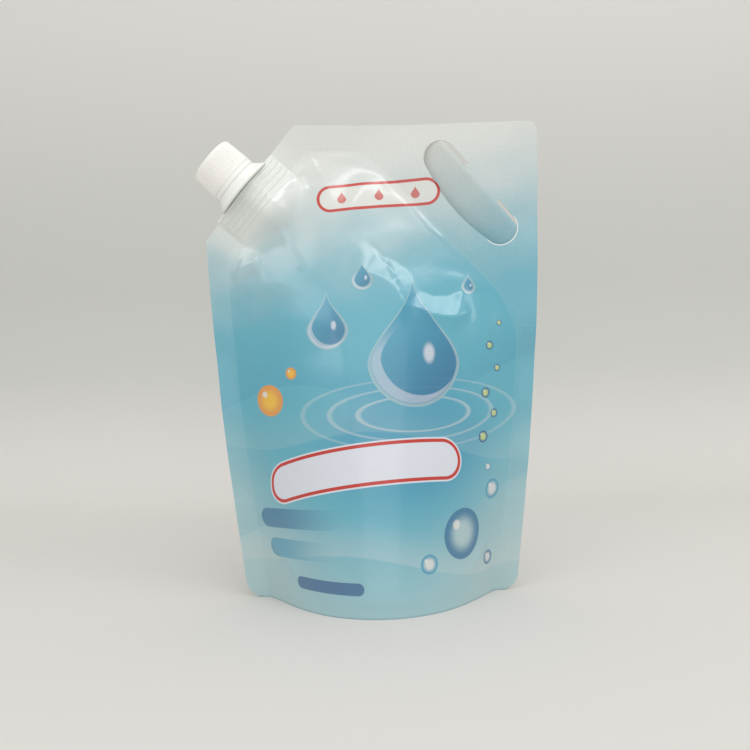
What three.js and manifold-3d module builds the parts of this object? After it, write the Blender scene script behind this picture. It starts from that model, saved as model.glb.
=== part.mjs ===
// Spout pouch: a free-standing refill pouch of three heat-sealed film webs,
// with a corner spout, a tamper band and a knurled screw cap.
// Millimetres, +Z up. The printed front faces -Y.

import * as THREE from 'three';
import { mergeVertices } from 'three/addons/utils/BufferGeometryUtils.js';
import Module from 'manifold-3d';

const wasm = await Module();
wasm.setup();

const radians = THREE.MathUtils.degToRad;

// Film panels, measured flat
const PANEL_WIDTH = 180;
const PANEL_HEIGHT = 252;
const FILM = 0.3;
const SIDE_SEAL = 10;
const TOP_SEAL = 14;
const TOP_CORNER_RADIUS = 6;
const CUT_CORNER_RADIUS = 5;
const BOTTOM_CORNER_RADIUS = 9;

// Corner cut that carries the spout
const CUT_HEIGHT = 60;
const CUT_ANGLE = radians(50.5);
const CUT_SEAL = 13;

// Slanted seal that closes the handle corner off from the contents
const HANDLE_SEAL_START = -3;
const HANDLE_SEAL_ANGLE = radians(46.8);
const SEAL_BLEND = 20;

// Filled shape of the body
const BASE_DEPTH = 44.7;
const TAPER_POWER = 1.185;
const ARCH_POWER = 1.15;

// Corner with the spout, nodding forward
const NOD_ANGLE = radians(9.5);
const NOD_LENGTH = 30;
const NOD_MARGIN = 2;

// Handle slot, its flap still hanging on a hinge line
const HANDLE_FROM_SIDE = 36.25;
const HANDLE_FROM_TOP = 37.3;
const HANDLE_ANGLE = radians(-50);
const HANDLE_SPAN = 50.3;
const HANDLE_RADIUS = 9.1;
const HANDLE_BELLY = 3.3;
const HINGE_LENGTH = 26;
const HINGE_INSET = 2.2;
const FLAP_ANGLE = radians(20);
const KERF = 0.35;

// Bottom gusset web
const GUSSET_HEIGHT = 51;
const GUSSET_WELD = 6;
const GUSSET_FILM = 0.25;
const GUSSET_WING = 0.3;
const WING_ROOT = 4;
const WING_OVERLAP = 1;
const WELD_POWER = 4;
const WEB_GAP = 0.45;

// Spout: seat on the cut edge, flange and neck
const SPOUT_ALONG = 35;
const SPOUT_SETBACK = 0.5;
const SPOUT_ANGLE = radians(48);
const BORE_RADIUS = 8.2;
const NECK_WALL = 2.5;
const NECK_CHAMFER = 0.6;
const FLANGE_RADIUS = 17.3;
const FLANGE_RIM = 1.8;
const FLANGE_HEIGHT = 5.9;
const FLANGE_GAP = 0.3;
const COLLAR_STEP = 1.5;
const BEAD_DEPTH = 1.1;
const BEAD_HEIGHT = 1.3;

// Weld boat under the flange
const BOAT_WALL = 2;
const BOAT_LENGTH = 45;
const BOAT_DEPTH = 14;
const BOAT_RIBS = 5;
const BOAT_RIB = 1.3;
const BOAT_GROOVE = 0.9;
const BOAT_FILM_GAP = 0.7;
const BOAT_FADE = 26;

// Cap and tamper band
const CAP_GAP = 0.4;
const CAP_WALL = 1.3;
const CAP_TAPER = 0.5;
const CAP_HEIGHT = 16.2;
const CAP_ROOF = 1.8;
const CAP_ROUND = 2.4;
const CAP_RIBS = 42;
const RIB_DEPTH = 0.3;
const PLUG_DEPTH = 3;
const PLUG_WALL = 1;
const BAND_HEIGHT = 2.5;
const BAND_WALL = 1.1;
const BAND_LIP = 1;
const TURN_GAP = 0.3;

// Mesh fineness: counts across, then row heights up the film
const CUT_SEAL_COLUMNS = 4;
const BODY_COLUMNS = 16;
const HANDLE_COLUMNS = 3;
const WING_COLUMNS = 4;
const EDGE_CROWDING = 0.35;
const SKIRT_ROWS = 3;
const ARCH_ROWS = 5;
const SPREAD_STEPS = 40;
const ROUND_SEGMENTS = 36;
const ROOF_STEPS = 3;
const ARC_STEPS = 6;
const FOOT_ROW = 3;
const GUSSET_ROW = 11;
const BODY_ROW = 14;
const SHOULDER_ROW = 7;
const SPOUT_ROW = 3.9;
const SEAL_ROW = 8;
const CORNER_ROW = 2;
const SLOPE_STEP = 0.5;
const MERGE_DISTANCE = 1e-4;

// Levels and places that follow from the driving dimensions
const HALF_WIDTH = PANEL_WIDTH / 2;
const BODY_HALF = HALF_WIDTH - SIDE_SEAL;
const BODY_TOP = PANEL_HEIGHT - TOP_SEAL;
const CUT_FOOT = PANEL_HEIGHT - CUT_HEIGHT;
const SEAT_X = -HALF_WIDTH + SPOUT_ALONG * Math.cos(CUT_ANGLE) + SPOUT_SETBACK * Math.sin(CUT_ANGLE);
const SEAT_Z = CUT_FOOT + SPOUT_ALONG * Math.sin(CUT_ANGLE) - SPOUT_SETBACK * Math.cos(CUT_ANGLE);
const NECK_RADIUS = BORE_RADIUS + NECK_WALL;
const COLLAR_RADIUS = NECK_RADIUS + COLLAR_STEP;
const BOAT_RADIUS = BORE_RADIUS + BOAT_WALL;
const CAP_INNER = NECK_RADIUS + BEAD_DEPTH + CAP_GAP;
const CAP_RADIUS = CAP_INNER + CAP_WALL;
const BAND_BASE = FLANGE_HEIGHT + TURN_GAP;
const CAP_BASE = BAND_BASE + BAND_HEIGHT + TURN_GAP;
const CAP_TOP = CAP_BASE + CAP_HEIGHT;
const CAP_CEILING = CAP_TOP - CAP_ROOF;
const NECK_TOP = CAP_CEILING - TURN_GAP;
const NOD_START = -(BOAT_DEPTH + NOD_MARGIN + NOD_LENGTH);
const NOD_RADIUS = NOD_LENGTH / NOD_ANGLE;
const HANDLE_CENTRE_X = HALF_WIDTH - HANDLE_FROM_SIDE;
const HANDLE_CENTRE_Z = PANEL_HEIGHT - HANDLE_FROM_TOP;
const HINGE_OFFSET = HANDLE_RADIUS - HINGE_INSET;

function smoothStep(from, to, value) {
  return THREE.MathUtils.smoothstep(value, from, to);
}

function smoothMin(a, b, blend) {
  const h = THREE.MathUtils.clamp(0.5 + (b - a) / (2 * blend), 0, 1);
  return b + (a - b) * h - blend * h * (1 - h);
}

// Solid helpers: closed geometry to and from boolean solids

function bare(geometry) {
  const plain = new THREE.BufferGeometry();
  plain.setAttribute('position', geometry.getAttribute('position'));
  plain.setIndex(geometry.getIndex());
  return mergeVertices(plain, MERGE_DISTANCE);
}

function toSolid(geometry) {
  const merged = bare(geometry);
  const index = merged.getIndex().array;
  const faces = [];
  for (let i = 0; i < index.length; i += 3) {
    const [a, b, c] = [index[i], index[i + 1], index[i + 2]];
    if (a !== b && b !== c && c !== a) {
      faces.push(a, b, c);
    }
  }
  const mesh = new wasm.Mesh({
    numProp: 3,
    vertProperties: new Float32Array(merged.getAttribute('position').array),
    triVerts: new Uint32Array(faces),
  });
  return new wasm.Manifold(mesh);
}

function toGeometry(solid) {
  const mesh = solid.getMesh();
  const geometry = new THREE.BufferGeometry();
  geometry.setAttribute('position', new THREE.BufferAttribute(mesh.vertProperties, 3));
  geometry.setIndex(new THREE.BufferAttribute(mesh.triVerts, 1));
  geometry.computeVertexNormals();
  return geometry;
}

function revolve(outline, segments) {
  const points = outline.map(([radius, level]) => new THREE.Vector2(radius, level));
  const geometry = new THREE.LatheGeometry(points, segments);
  return geometry.rotateX(Math.PI / 2);
}

// A closed sheet over a grid: place(column, row, face) gives each corner
function gridSheet(columns, rows, place) {
  const positions = [];
  const index = [];
  const across = columns + 1;
  const layer = across * (rows + 1);
  for (const face of [0, 1]) {
    for (let row = 0; row <= rows; row += 1) {
      for (let column = 0; column <= columns; column += 1) {
        positions.push(...place(column, row, face).toArray());
      }
    }
  }
  const quad = (a, b, c, d) => index.push(a, b, c, a, c, d);
  for (let row = 0; row < rows; row += 1) {
    for (let column = 0; column < columns; column += 1) {
      const a = row * across + column;
      quad(a, a + 1, a + across + 1, a + across);
      quad(layer + a, layer + a + across, layer + a + across + 1, layer + a + 1);
    }
  }
  for (let column = 0; column < columns; column += 1) {
    const top = rows * across + column;
    quad(column, layer + column, layer + column + 1, column + 1);
    quad(top, top + 1, layer + top + 1, layer + top);
  }
  for (let row = 0; row < rows; row += 1) {
    const left = row * across;
    const right = left + columns;
    quad(left, left + across, layer + left + across, layer + left);
    quad(right, layer + right, layer + right + across, right + across);
  }
  const geometry = new THREE.BufferGeometry();
  geometry.setAttribute('position', new THREE.Float32BufferAttribute(positions, 3));
  geometry.setIndex(index);
  return geometry;
}

// Spout frame: along is parallel to the cut, out is away from the contents

function toSpout(x, z) {
  const dx = x - SEAT_X;
  const dz = z - SEAT_Z;
  return {
    along: dx * Math.cos(SPOUT_ANGLE) + dz * Math.sin(SPOUT_ANGLE),
    out: dz * Math.cos(SPOUT_ANGLE) - dx * Math.sin(SPOUT_ANGLE),
  };
}

function fromSpout(along, y, out) {
  return new THREE.Vector3(
    SEAT_X + along * Math.cos(SPOUT_ANGLE) - out * Math.sin(SPOUT_ANGLE),
    y,
    SEAT_Z + along * Math.sin(SPOUT_ANGLE) + out * Math.cos(SPOUT_ANGLE),
  );
}

// Bends the spout corner forward about a line parallel to the cut
function nod(point) {
  const { along, out } = toSpout(point.x, point.z);
  const reach = out - NOD_START;
  if (reach <= 0) {
    return point;
  }
  const angle = Math.min(reach / NOD_RADIUS, NOD_ANGLE);
  const straight = Math.max(reach - NOD_LENGTH, 0);
  const arm = NOD_RADIUS + point.y;
  return fromSpout(
    along,
    arm * Math.cos(angle) - NOD_RADIUS - straight * Math.sin(angle),
    NOD_START + arm * Math.sin(angle) + straight * Math.cos(angle),
  );
}

// Outline of the flat panel, row by row

function cutEdge(z) {
  const centreX = -HALF_WIDTH + CUT_HEIGHT / Math.tan(CUT_ANGLE)
    + CUT_CORNER_RADIUS * Math.tan(CUT_ANGLE / 2);
  const centreZ = PANEL_HEIGHT - CUT_CORNER_RADIUS;
  if (z > centreZ + CUT_CORNER_RADIUS * Math.cos(CUT_ANGLE)) {
    return centreX - Math.sqrt(CUT_CORNER_RADIUS ** 2 - (z - centreZ) ** 2);
  }
  return -HALF_WIDTH + (z - CUT_FOOT) / Math.tan(CUT_ANGLE);
}

function flangeEdge(z) {
  return SEAT_X + ((z - SEAT_Z) * Math.cos(SPOUT_ANGLE) + FLANGE_GAP) / Math.sin(SPOUT_ANGLE);
}

function cornerInset(radius, distance) {
  const inside = Math.max(radius - distance, 0);
  return radius - Math.sqrt(radius ** 2 - inside ** 2);
}

function leftEdge(z) {
  if (z < BOTTOM_CORNER_RADIUS) {
    return -HALF_WIDTH + cornerInset(BOTTOM_CORNER_RADIUS, z);
  }
  if (z < CUT_FOOT) {
    return -HALF_WIDTH;
  }
  const edge = flangeEdge(z);
  const underFlange = Math.abs(toSpout(edge, z).along) < FLANGE_RADIUS + FLANGE_GAP;
  return underFlange ? Math.max(edge, cutEdge(z)) : cutEdge(z);
}

function rightEdge(z) {
  const bottom = cornerInset(BOTTOM_CORNER_RADIUS, z);
  const top = cornerInset(TOP_CORNER_RADIUS, PANEL_HEIGHT - z);
  return HALF_WIDTH - bottom - top;
}

// Boundaries of the unsealed body

function bodyLeft(z) {
  const level = Math.min(z, BODY_TOP);
  const slant = -HALF_WIDTH + (level - CUT_FOOT) / Math.tan(CUT_ANGLE) + CUT_SEAL / Math.sin(CUT_ANGLE);
  return -smoothMin(BODY_HALF, -slant, SEAL_BLEND);
}

function bodyRight(z) {
  const level = Math.min(z, BODY_TOP);
  const slant = HANDLE_SEAL_START + (BODY_TOP - level) / Math.tan(HANDLE_SEAL_ANGLE);
  return smoothMin(BODY_HALF, slant, SEAL_BLEND);
}

// Half-depth of the filled body at a flat place
function bodyDepth(u, z) {
  const left = bodyLeft(z);
  const share = (u - left) / (bodyRight(z) - left);
  if (share <= 0 || share >= 1 || z >= BODY_TOP) {
    return 0;
  }
  const centre = BASE_DEPTH * (1 - (Math.max(z, 0) / BODY_TOP) ** TAPER_POWER);
  return centre * Math.sin(Math.PI * share) ** ARCH_POWER;
}

// Width shrinks where the film arches, so its length is kept
function spread(u, z) {
  const step = u / SPREAD_STEPS;
  let last = bodyDepth(0, z);
  let width = 0;
  for (let i = 1; i <= SPREAD_STEPS; i += 1) {
    const next = bodyDepth(i * step, z);
    width += Math.sqrt(Math.max(step ** 2 - (next - last) ** 2, 0));
    last = next;
  }
  return Math.sign(u) * width;
}

// Half-width of the boat: a circle drawn out to two tips
function boatHalf(along, radius, tip) {
  const touch = radius ** 2 / tip;
  const distance = Math.abs(along);
  if (distance < touch) {
    return Math.sqrt(radius ** 2 - distance ** 2);
  }
  return Math.max(tip - distance, 0) * radius / Math.sqrt(tip ** 2 - radius ** 2);
}

function boatWrap(x, z) {
  const { along, out } = toSpout(x, z);
  const fade = smoothStep(-BOAT_DEPTH - BOAT_FADE, -BOAT_DEPTH - BOAT_FILM_GAP, out);
  const tip = BOAT_LENGTH / 2 + BOAT_FILM_GAP;
  return fade * boatHalf(along, BOAT_RADIUS + BOAT_FILM_GAP, tip);
}

// Inner face of a panel: the film lies outside it
function innerFace(u, z) {
  const x = spread(u, z);
  const depth = Math.hypot(bodyDepth(u, z), boatWrap(x, z));
  const wing = GUSSET_WING * (1 - smoothStep(GUSSET_HEIGHT, GUSSET_HEIGHT + SIDE_SEAL, z));
  return new THREE.Vector3(x, -Math.max(depth, wing), z);
}

function filmPoint(u, z, thickness) {
  const point = innerFace(u, z);
  if (thickness === 0) {
    return point;
  }
  const across = innerFace(u + SLOPE_STEP, z).sub(innerFace(u - SLOPE_STEP, z));
  const up = innerFace(u, z + SLOPE_STEP).sub(innerFace(u, z - SLOPE_STEP));
  const outward = across.cross(up).normalize();
  const moved = point.addScaledVector(outward, thickness);
  if (z <= 0) {
    moved.z = 0;
  }
  return moved;
}

// Row heights: close together at the base and beside the spout

function levels(from, to, step) {
  const count = Math.max(Math.round((to - from) / step), 1);
  return Array.from({ length: count }, (_, i) => from + (to - from) * i / count);
}

function gussetRows() {
  return [
    ...levels(0, BOTTOM_CORNER_RADIUS, FOOT_ROW),
    ...levels(BOTTOM_CORNER_RADIUS, GUSSET_HEIGHT, GUSSET_ROW),
    GUSSET_HEIGHT,
  ];
}

function panelRows() {
  const spoutFoot = SEAT_Z - (BOAT_LENGTH / 2) * Math.sin(SPOUT_ANGLE) - BOAT_DEPTH;
  return [
    ...gussetRows().slice(0, -1),
    ...levels(GUSSET_HEIGHT, spoutFoot, BODY_ROW),
    ...levels(spoutFoot, CUT_FOOT, SHOULDER_ROW),
    ...levels(CUT_FOOT, BODY_TOP, SPOUT_ROW),
    ...levels(BODY_TOP, PANEL_HEIGHT - TOP_CORNER_RADIUS, SEAL_ROW),
    ...levels(PANEL_HEIGHT - TOP_CORNER_RADIUS, PANEL_HEIGHT, CORNER_ROW),
    PANEL_HEIGHT,
  ];
}

// Body columns crowd a little towards the side seals
function bodyColumn(column, z) {
  const even = column / BODY_COLUMNS;
  const crowded = (1 - Math.cos(Math.PI * even)) / 2;
  const share = even + (crowded - even) * EDGE_CROWDING;
  return bodyLeft(z) + (bodyRight(z) - bodyLeft(z)) * share;
}

function panelColumn(column, z) {
  const inBody = column - CUT_SEAL_COLUMNS;
  const inHandle = inBody - BODY_COLUMNS;
  if (inBody < 0) {
    return leftEdge(z) + (bodyLeft(z) - leftEdge(z)) * column / CUT_SEAL_COLUMNS;
  }
  if (inHandle > 0) {
    return bodyRight(z) + (rightEdge(z) - bodyRight(z)) * inHandle / HANDLE_COLUMNS;
  }
  return bodyColumn(inBody, z);
}

// Handle slot, in its own frame: x down the slot, y towards the pouch corner

function handleShape(inset) {
  const half = HANDLE_SPAN / 2;
  const radius = HANDLE_RADIUS - inset;
  const hinge = HINGE_LENGTH / 2;
  const belly = HANDLE_BELLY;
  const bellyRadius = (half ** 2 + belly ** 2) / (2 * belly) - inset;
  const bellyAngle = Math.atan2(half, (half ** 2 - belly ** 2) / (2 * belly));
  const bellyCentre = -HANDLE_RADIUS - belly + bellyRadius + inset;
  const shape = new THREE.Shape();
  shape.moveTo(hinge, HINGE_OFFSET);
  shape.lineTo(hinge + inset, HINGE_OFFSET);
  shape.lineTo(hinge + inset, radius);
  shape.lineTo(half, radius);
  shape.absarc(half, 0, radius, Math.PI / 2, -Math.PI / 2 + bellyAngle, true);
  shape.absarc(0, bellyCentre, bellyRadius, -Math.PI / 2 + bellyAngle, -Math.PI / 2 - bellyAngle, true);
  shape.absarc(-half, 0, radius, -Math.PI / 2 - bellyAngle, -Math.PI * 1.5, true);
  shape.lineTo(-hinge - inset, radius);
  shape.lineTo(-hinge - inset, HINGE_OFFSET);
  shape.lineTo(-hinge, HINGE_OFFSET);
  return shape;
}

function handleFrame() {
  const place = new THREE.Matrix4().makeTranslation(HANDLE_CENTRE_X, 0, HANDLE_CENTRE_Z);
  return place.multiply(new THREE.Matrix4().makeRotationY(-HANDLE_ANGLE));
}

function handlePlate(inset, near, far) {
  const settings = { depth: far - near, bevelEnabled: false, curveSegments: ARC_STEPS };
  const geometry = new THREE.ExtrudeGeometry(handleShape(inset), settings);
  geometry.translate(0, 0, -far);
  geometry.rotateX(Math.PI / 2);
  return geometry.applyMatrix4(handleFrame());
}

function insideOutline(x, y, outline) {
  let inside = false;
  outline.forEach((corner, i) => {
    const previous = outline[(i + outline.length - 1) % outline.length];
    const crosses = (corner.y > y) !== (previous.y > y);
    const share = (y - corner.y) / (previous.y - corner.y);
    if (crosses && x < corner.x + (previous.x - corner.x) * share) {
      inside = !inside;
    }
  });
  return inside;
}

function isOnHinge(point) {
  const slack = KERF / 10;
  const onLine = Math.abs(point.z - HINGE_OFFSET) < slack;
  return onLine && Math.abs(point.x) < HINGE_LENGTH / 2 + slack;
}

// Swings the flap's corners back about the hinge line
function pushFlap(geometry) {
  const frame = handleFrame();
  const inverse = frame.clone().invert();
  const outline = handleShape(KERF / 2).getPoints(ARC_STEPS);
  const position = geometry.getAttribute('position');
  const point = new THREE.Vector3();
  for (let i = 0; i < position.count; i += 1) {
    point.fromBufferAttribute(position, i).applyMatrix4(inverse);
    if (!isOnHinge(point) && insideOutline(point.x, point.z, outline)) {
      const drop = point.z - HINGE_OFFSET;
      const y = point.y;
      point.z = HINGE_OFFSET + drop * Math.cos(FLAP_ANGLE) + y * Math.sin(FLAP_ANGLE);
      point.y = y * Math.cos(FLAP_ANGLE) - drop * Math.sin(FLAP_ANGLE);
      point.applyMatrix4(frame);
      position.setXYZ(i, point.x, point.y, point.z);
    }
  }
  return geometry;
}

// Front or back web: side is -1 for the front and 1 for the back
function panelGeometry(side) {
  const rows = panelRows();
  const columns = CUT_SEAL_COLUMNS + BODY_COLUMNS + HANDLE_COLUMNS;
  const outerFace = side < 0 ? 0 : 1;
  const sheet = gridSheet(columns, rows.length - 1, (column, row, face) => {
    const z = rows[row];
    const point = filmPoint(panelColumn(column, z), z, face === outerFace ? FILM : 0);
    point.y *= -side;
    return nod(point);
  });
  const near = side < 0 ? -FILM : 0;
  const hole = toSolid(handlePlate(0, -2 * FILM, 2 * FILM));
  const flap = toSolid(handlePlate(KERF, near, near + FILM));
  const web = toSolid(sheet).subtract(hole).add(flap);
  return pushFlap(toGeometry(web)).toNonIndexed();
}

// Gusset: a W-fold whose skirt is welded to the panels below a curved line

function weldHeight(u) {
  const share = Math.min(Math.abs(u) / BODY_HALF, 1);
  return GUSSET_WELD + (GUSSET_HEIGHT - GUSSET_WELD) * share ** WELD_POWER;
}

function gussetSection(u, inset) {
  const weld = weldHeight(u);
  const depth = bodyDepth(u, weld) - WEB_GAP;
  const web = Math.max(GUSSET_HEIGHT - weld, depth);
  const rise = Math.sqrt(web ** 2 - depth ** 2);
  const ridge = weld + rise - inset * web / depth;
  const foot = depth - inset;
  return { foot, kneeZ: ridge - foot * rise / depth, ridge };
}

function gussetPoint(u, row, inset) {
  const section = gussetSection(u, inset);
  const side = Math.sign(row);
  const distance = Math.abs(row);
  let depth;
  let z;
  if (distance > ARCH_ROWS) {
    z = section.kneeZ * (ARCH_ROWS + SKIRT_ROWS - distance) / SKIRT_ROWS;
    depth = bodyDepth(u, z) - WEB_GAP - inset;
  } else {
    z = section.ridge + (section.kneeZ - section.ridge) * distance / ARCH_ROWS;
    depth = (bodyDepth(u, section.kneeZ) - WEB_GAP - inset) * distance / ARCH_ROWS;
  }
  return new THREE.Vector3(spread(u, z), -side * depth, z);
}

// The part of the gusset pinched between the panels along a side seal
function gussetWing(side) {
  const rows = gussetRows();
  return gridSheet(WING_COLUMNS, rows.length - 1, (column, row, face) => {
    const z = rows[row];
    const place = 2 * column / WING_COLUMNS - 1;
    const inSeal = (rightEdge(z) - BODY_HALF) * Math.max(place, 0);
    const inBody = WING_ROOT * Math.max(-place, 0);
    const u = (BODY_HALF - inBody + inSeal) * side;
    const half = Math.max(bodyDepth(u, z) - WEB_GAP - GUSSET_FILM / 2, GUSSET_WING);
    const front = (face === 0) === (side > 0);
    return new THREE.Vector3(spread(u, z), front ? -half : half, z);
  });
}

function gussetGeometry() {
  const reach = BODY_HALF - WING_ROOT + WING_OVERLAP;
  const halfRows = ARCH_ROWS + SKIRT_ROWS;
  const sheet = gridSheet(BODY_COLUMNS, 2 * halfRows, (column, row, face) => {
    const u = THREE.MathUtils.clamp(bodyColumn(column, 0), -reach, reach);
    return gussetPoint(u, halfRows - row, face === 0 ? 0 : GUSSET_FILM);
  });
  const web = toSolid(sheet).add(toSolid(gussetWing(1))).add(toSolid(gussetWing(-1)));
  return toGeometry(web).toNonIndexed();
}

// Spout fitment, in its own frame: z outward along the bore

function neckOutline() {
  const bead = CAP_BASE;
  return [
    [BORE_RADIUS, -BOAT_DEPTH],
    [BORE_RADIUS + BOAT_GROOVE / 2, -BOAT_DEPTH],
    [BORE_RADIUS + BOAT_GROOVE / 2, 0],
    [FLANGE_RADIUS - NECK_CHAMFER, 0],
    [FLANGE_RADIUS, NECK_CHAMFER],
    [FLANGE_RADIUS, FLANGE_RIM - NECK_CHAMFER],
    [FLANGE_RADIUS - NECK_CHAMFER, FLANGE_RIM],
    [COLLAR_RADIUS, FLANGE_HEIGHT],
    [NECK_RADIUS, FLANGE_HEIGHT],
    [NECK_RADIUS, bead],
    [NECK_RADIUS + BEAD_DEPTH, bead],
    [NECK_RADIUS + BEAD_DEPTH, bead + BEAD_HEIGHT / 2],
    [NECK_RADIUS, bead + BEAD_HEIGHT],
    [NECK_RADIUS, NECK_TOP - NECK_CHAMFER],
    [NECK_RADIUS - NECK_CHAMFER, NECK_TOP],
    [BORE_RADIUS, NECK_TOP],
    [BORE_RADIUS, -BOAT_DEPTH],
  ];
}

// A slice of the boat: the circle drawn out to its tips, with the bore through it
function boatSlice(radius, tip, from, height) {
  const turn = Math.acos(radius / tip);
  const shape = new THREE.Shape();
  shape.moveTo(tip, 0);
  shape.absarc(0, 0, radius, turn, Math.PI - turn, false);
  shape.lineTo(-tip, 0);
  shape.absarc(0, 0, radius, Math.PI + turn, 2 * Math.PI - turn, false);
  const geometry = new THREE.ExtrudeGeometry(shape, {
    depth: height,
    bevelEnabled: false,
    curveSegments: ARC_STEPS,
  });
  return toSolid(geometry.translate(0, 0, from));
}

function spoutGeometry() {
  const tip = BOAT_LENGTH / 2;
  const pitch = (BOAT_DEPTH - BOAT_RIB) / (BOAT_RIBS - 1);
  const core = BOAT_DEPTH + FLANGE_RIM / 2;
  let boat = boatSlice(BOAT_RADIUS - BOAT_GROOVE, tip - BOAT_GROOVE, -BOAT_DEPTH, core);
  for (let i = 0; i < BOAT_RIBS; i += 1) {
    boat = boat.add(boatSlice(BOAT_RADIUS, tip, -BOAT_DEPTH + i * pitch, BOAT_RIB));
  }
  const drill = new THREE.CylinderGeometry(BORE_RADIUS, BORE_RADIUS, 4 * BOAT_DEPTH, ROUND_SEGMENTS);
  const bore = toSolid(drill.rotateX(Math.PI / 2));
  const neck = toSolid(revolve(neckOutline(), ROUND_SEGMENTS));
  return toGeometry(boat.subtract(bore).add(neck)).toNonIndexed();
}

// Tamper band: a loose ring whose lip is caught under the neck's bead
function bandGeometry() {
  const lip = NECK_RADIUS + TURN_GAP;
  const inner = CAP_RADIUS - BAND_WALL;
  const top = BAND_BASE + BAND_HEIGHT;
  const outline = [
    [inner, BAND_BASE],
    [CAP_RADIUS, BAND_BASE],
    [CAP_RADIUS, top],
    [lip, top],
    [lip, top - BAND_LIP],
    [inner, top - BAND_LIP],
    [inner, BAND_BASE],
  ];
  return revolve(outline, ROUND_SEGMENTS);
}

// Cap: knurled skirt, rounded roof and an inner plug that closes the bore
function capOutline() {
  const roofRadius = CAP_RADIUS - CAP_TAPER;
  const plug = BORE_RADIUS - TURN_GAP;
  const round = Array.from({ length: ROOF_STEPS + 1 }, (_, i) => {
    const angle = Math.PI / 2 * i / ROOF_STEPS;
    return [
      roofRadius - CAP_ROUND + CAP_ROUND * Math.cos(angle),
      CAP_TOP - CAP_ROUND + CAP_ROUND * Math.sin(angle),
    ];
  });
  return [
    [0, CAP_CEILING],
    [plug - PLUG_WALL, CAP_CEILING],
    [plug - PLUG_WALL, CAP_CEILING - PLUG_DEPTH],
    [plug, CAP_CEILING - PLUG_DEPTH],
    [plug, CAP_CEILING],
    [CAP_INNER - CAP_GAP, CAP_CEILING],
    [CAP_INNER, CAP_CEILING - CAP_ROUND],
    [CAP_INNER, CAP_BASE],
    [CAP_RADIUS, CAP_BASE],
    [roofRadius, CAP_TOP - CAP_ROUND - RIB_DEPTH],
    ...round,
    [0, CAP_TOP],
  ];
}

// Every second line of the skirt is drawn in, which leaves the knurling ribs
function capGeometry() {
  const geometry = revolve(capOutline(), 2 * CAP_RIBS);
  const position = geometry.getAttribute('position');
  for (let i = 0; i < position.count; i += 1) {
    const radius = Math.hypot(position.getX(i), position.getY(i));
    const step = Math.atan2(position.getY(i), position.getX(i)) * CAP_RIBS / Math.PI;
    const groove = Math.abs(Math.round(step)) % 2 === 1;
    const outside = radius > CAP_RADIUS - CAP_TAPER - RIB_DEPTH / 2;
    const belowRound = position.getZ(i) < CAP_TOP - CAP_ROUND - RIB_DEPTH / 2;
    if (groove && outside && belowRound) {
      const scale = (radius - RIB_DEPTH) / radius;
      position.setXY(i, position.getX(i) * scale, position.getY(i) * scale);
    }
  }
  return geometry;
}

// Assembly

function material(color, roughness) {
  return new THREE.MeshStandardMaterial({ color, roughness, metalness: 0 });
}

function piece(name, geometry, finish) {
  const mesh = new THREE.Mesh(geometry, finish);
  mesh.name = name;
  return mesh;
}

function spoutGroup() {
  const group = new THREE.Group();
  group.name = 'spout_assembly';
  const origin = nod(fromSpout(0, 0, 0));
  const along = nod(fromSpout(1, 0, 0)).sub(origin);
  const outward = nod(fromSpout(0, 0, 1)).sub(origin);
  const back = outward.clone().cross(along);
  group.applyMatrix4(new THREE.Matrix4().makeBasis(along, back, outward));
  group.position.copy(origin);
  group.add(
    piece('spout', spoutGeometry(), material('#d9dad3', 0.4)),
    piece('tamper_band', bandGeometry(), material('#dcdcd4', 0.42)),
    piece('cap', capGeometry(), material('#eeebe4', 0.45)),
  );
  return group;
}

const pouch = new THREE.Group();
pouch.name = 'spout_pouch';
pouch.add(
  piece('front_panel', panelGeometry(-1), material('#a9d3da', 0.35)),
  piece('back_panel', panelGeometry(1), material('#a9d3da', 0.35)),
  piece('gusset', gussetGeometry(), material('#d5e4e6', 0.4)),
  spoutGroup(),
);

const box = new THREE.Box3().setFromObject(pouch, true);
const centre = box.getCenter(new THREE.Vector3());
pouch.position.set(-centre.x, -centre.y, -box.min.z);

export default pouch;
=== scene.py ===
"""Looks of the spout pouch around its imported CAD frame.

Sizes are in millimetres until a mesh is made. The printed front faces -Y and +Z is up.
"""

import math

import bpy
import numpy as np
from mathutils import Matrix, Vector
from mathutils.geometry import delaunay_2d_cdt


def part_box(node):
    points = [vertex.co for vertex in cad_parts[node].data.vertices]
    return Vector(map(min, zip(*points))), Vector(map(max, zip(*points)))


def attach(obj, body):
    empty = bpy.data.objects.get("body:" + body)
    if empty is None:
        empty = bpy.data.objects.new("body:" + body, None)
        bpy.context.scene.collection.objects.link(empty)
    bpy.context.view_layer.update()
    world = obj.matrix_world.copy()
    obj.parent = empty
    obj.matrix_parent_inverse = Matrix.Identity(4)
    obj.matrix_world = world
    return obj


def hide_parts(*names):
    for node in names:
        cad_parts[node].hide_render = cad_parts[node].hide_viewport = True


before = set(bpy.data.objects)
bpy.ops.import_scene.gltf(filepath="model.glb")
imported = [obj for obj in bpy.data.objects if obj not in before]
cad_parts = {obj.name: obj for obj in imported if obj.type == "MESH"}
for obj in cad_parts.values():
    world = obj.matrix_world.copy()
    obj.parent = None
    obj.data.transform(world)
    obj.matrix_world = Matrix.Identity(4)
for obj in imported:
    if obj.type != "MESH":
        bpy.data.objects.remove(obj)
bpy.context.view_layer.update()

MM = 0.001

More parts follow.
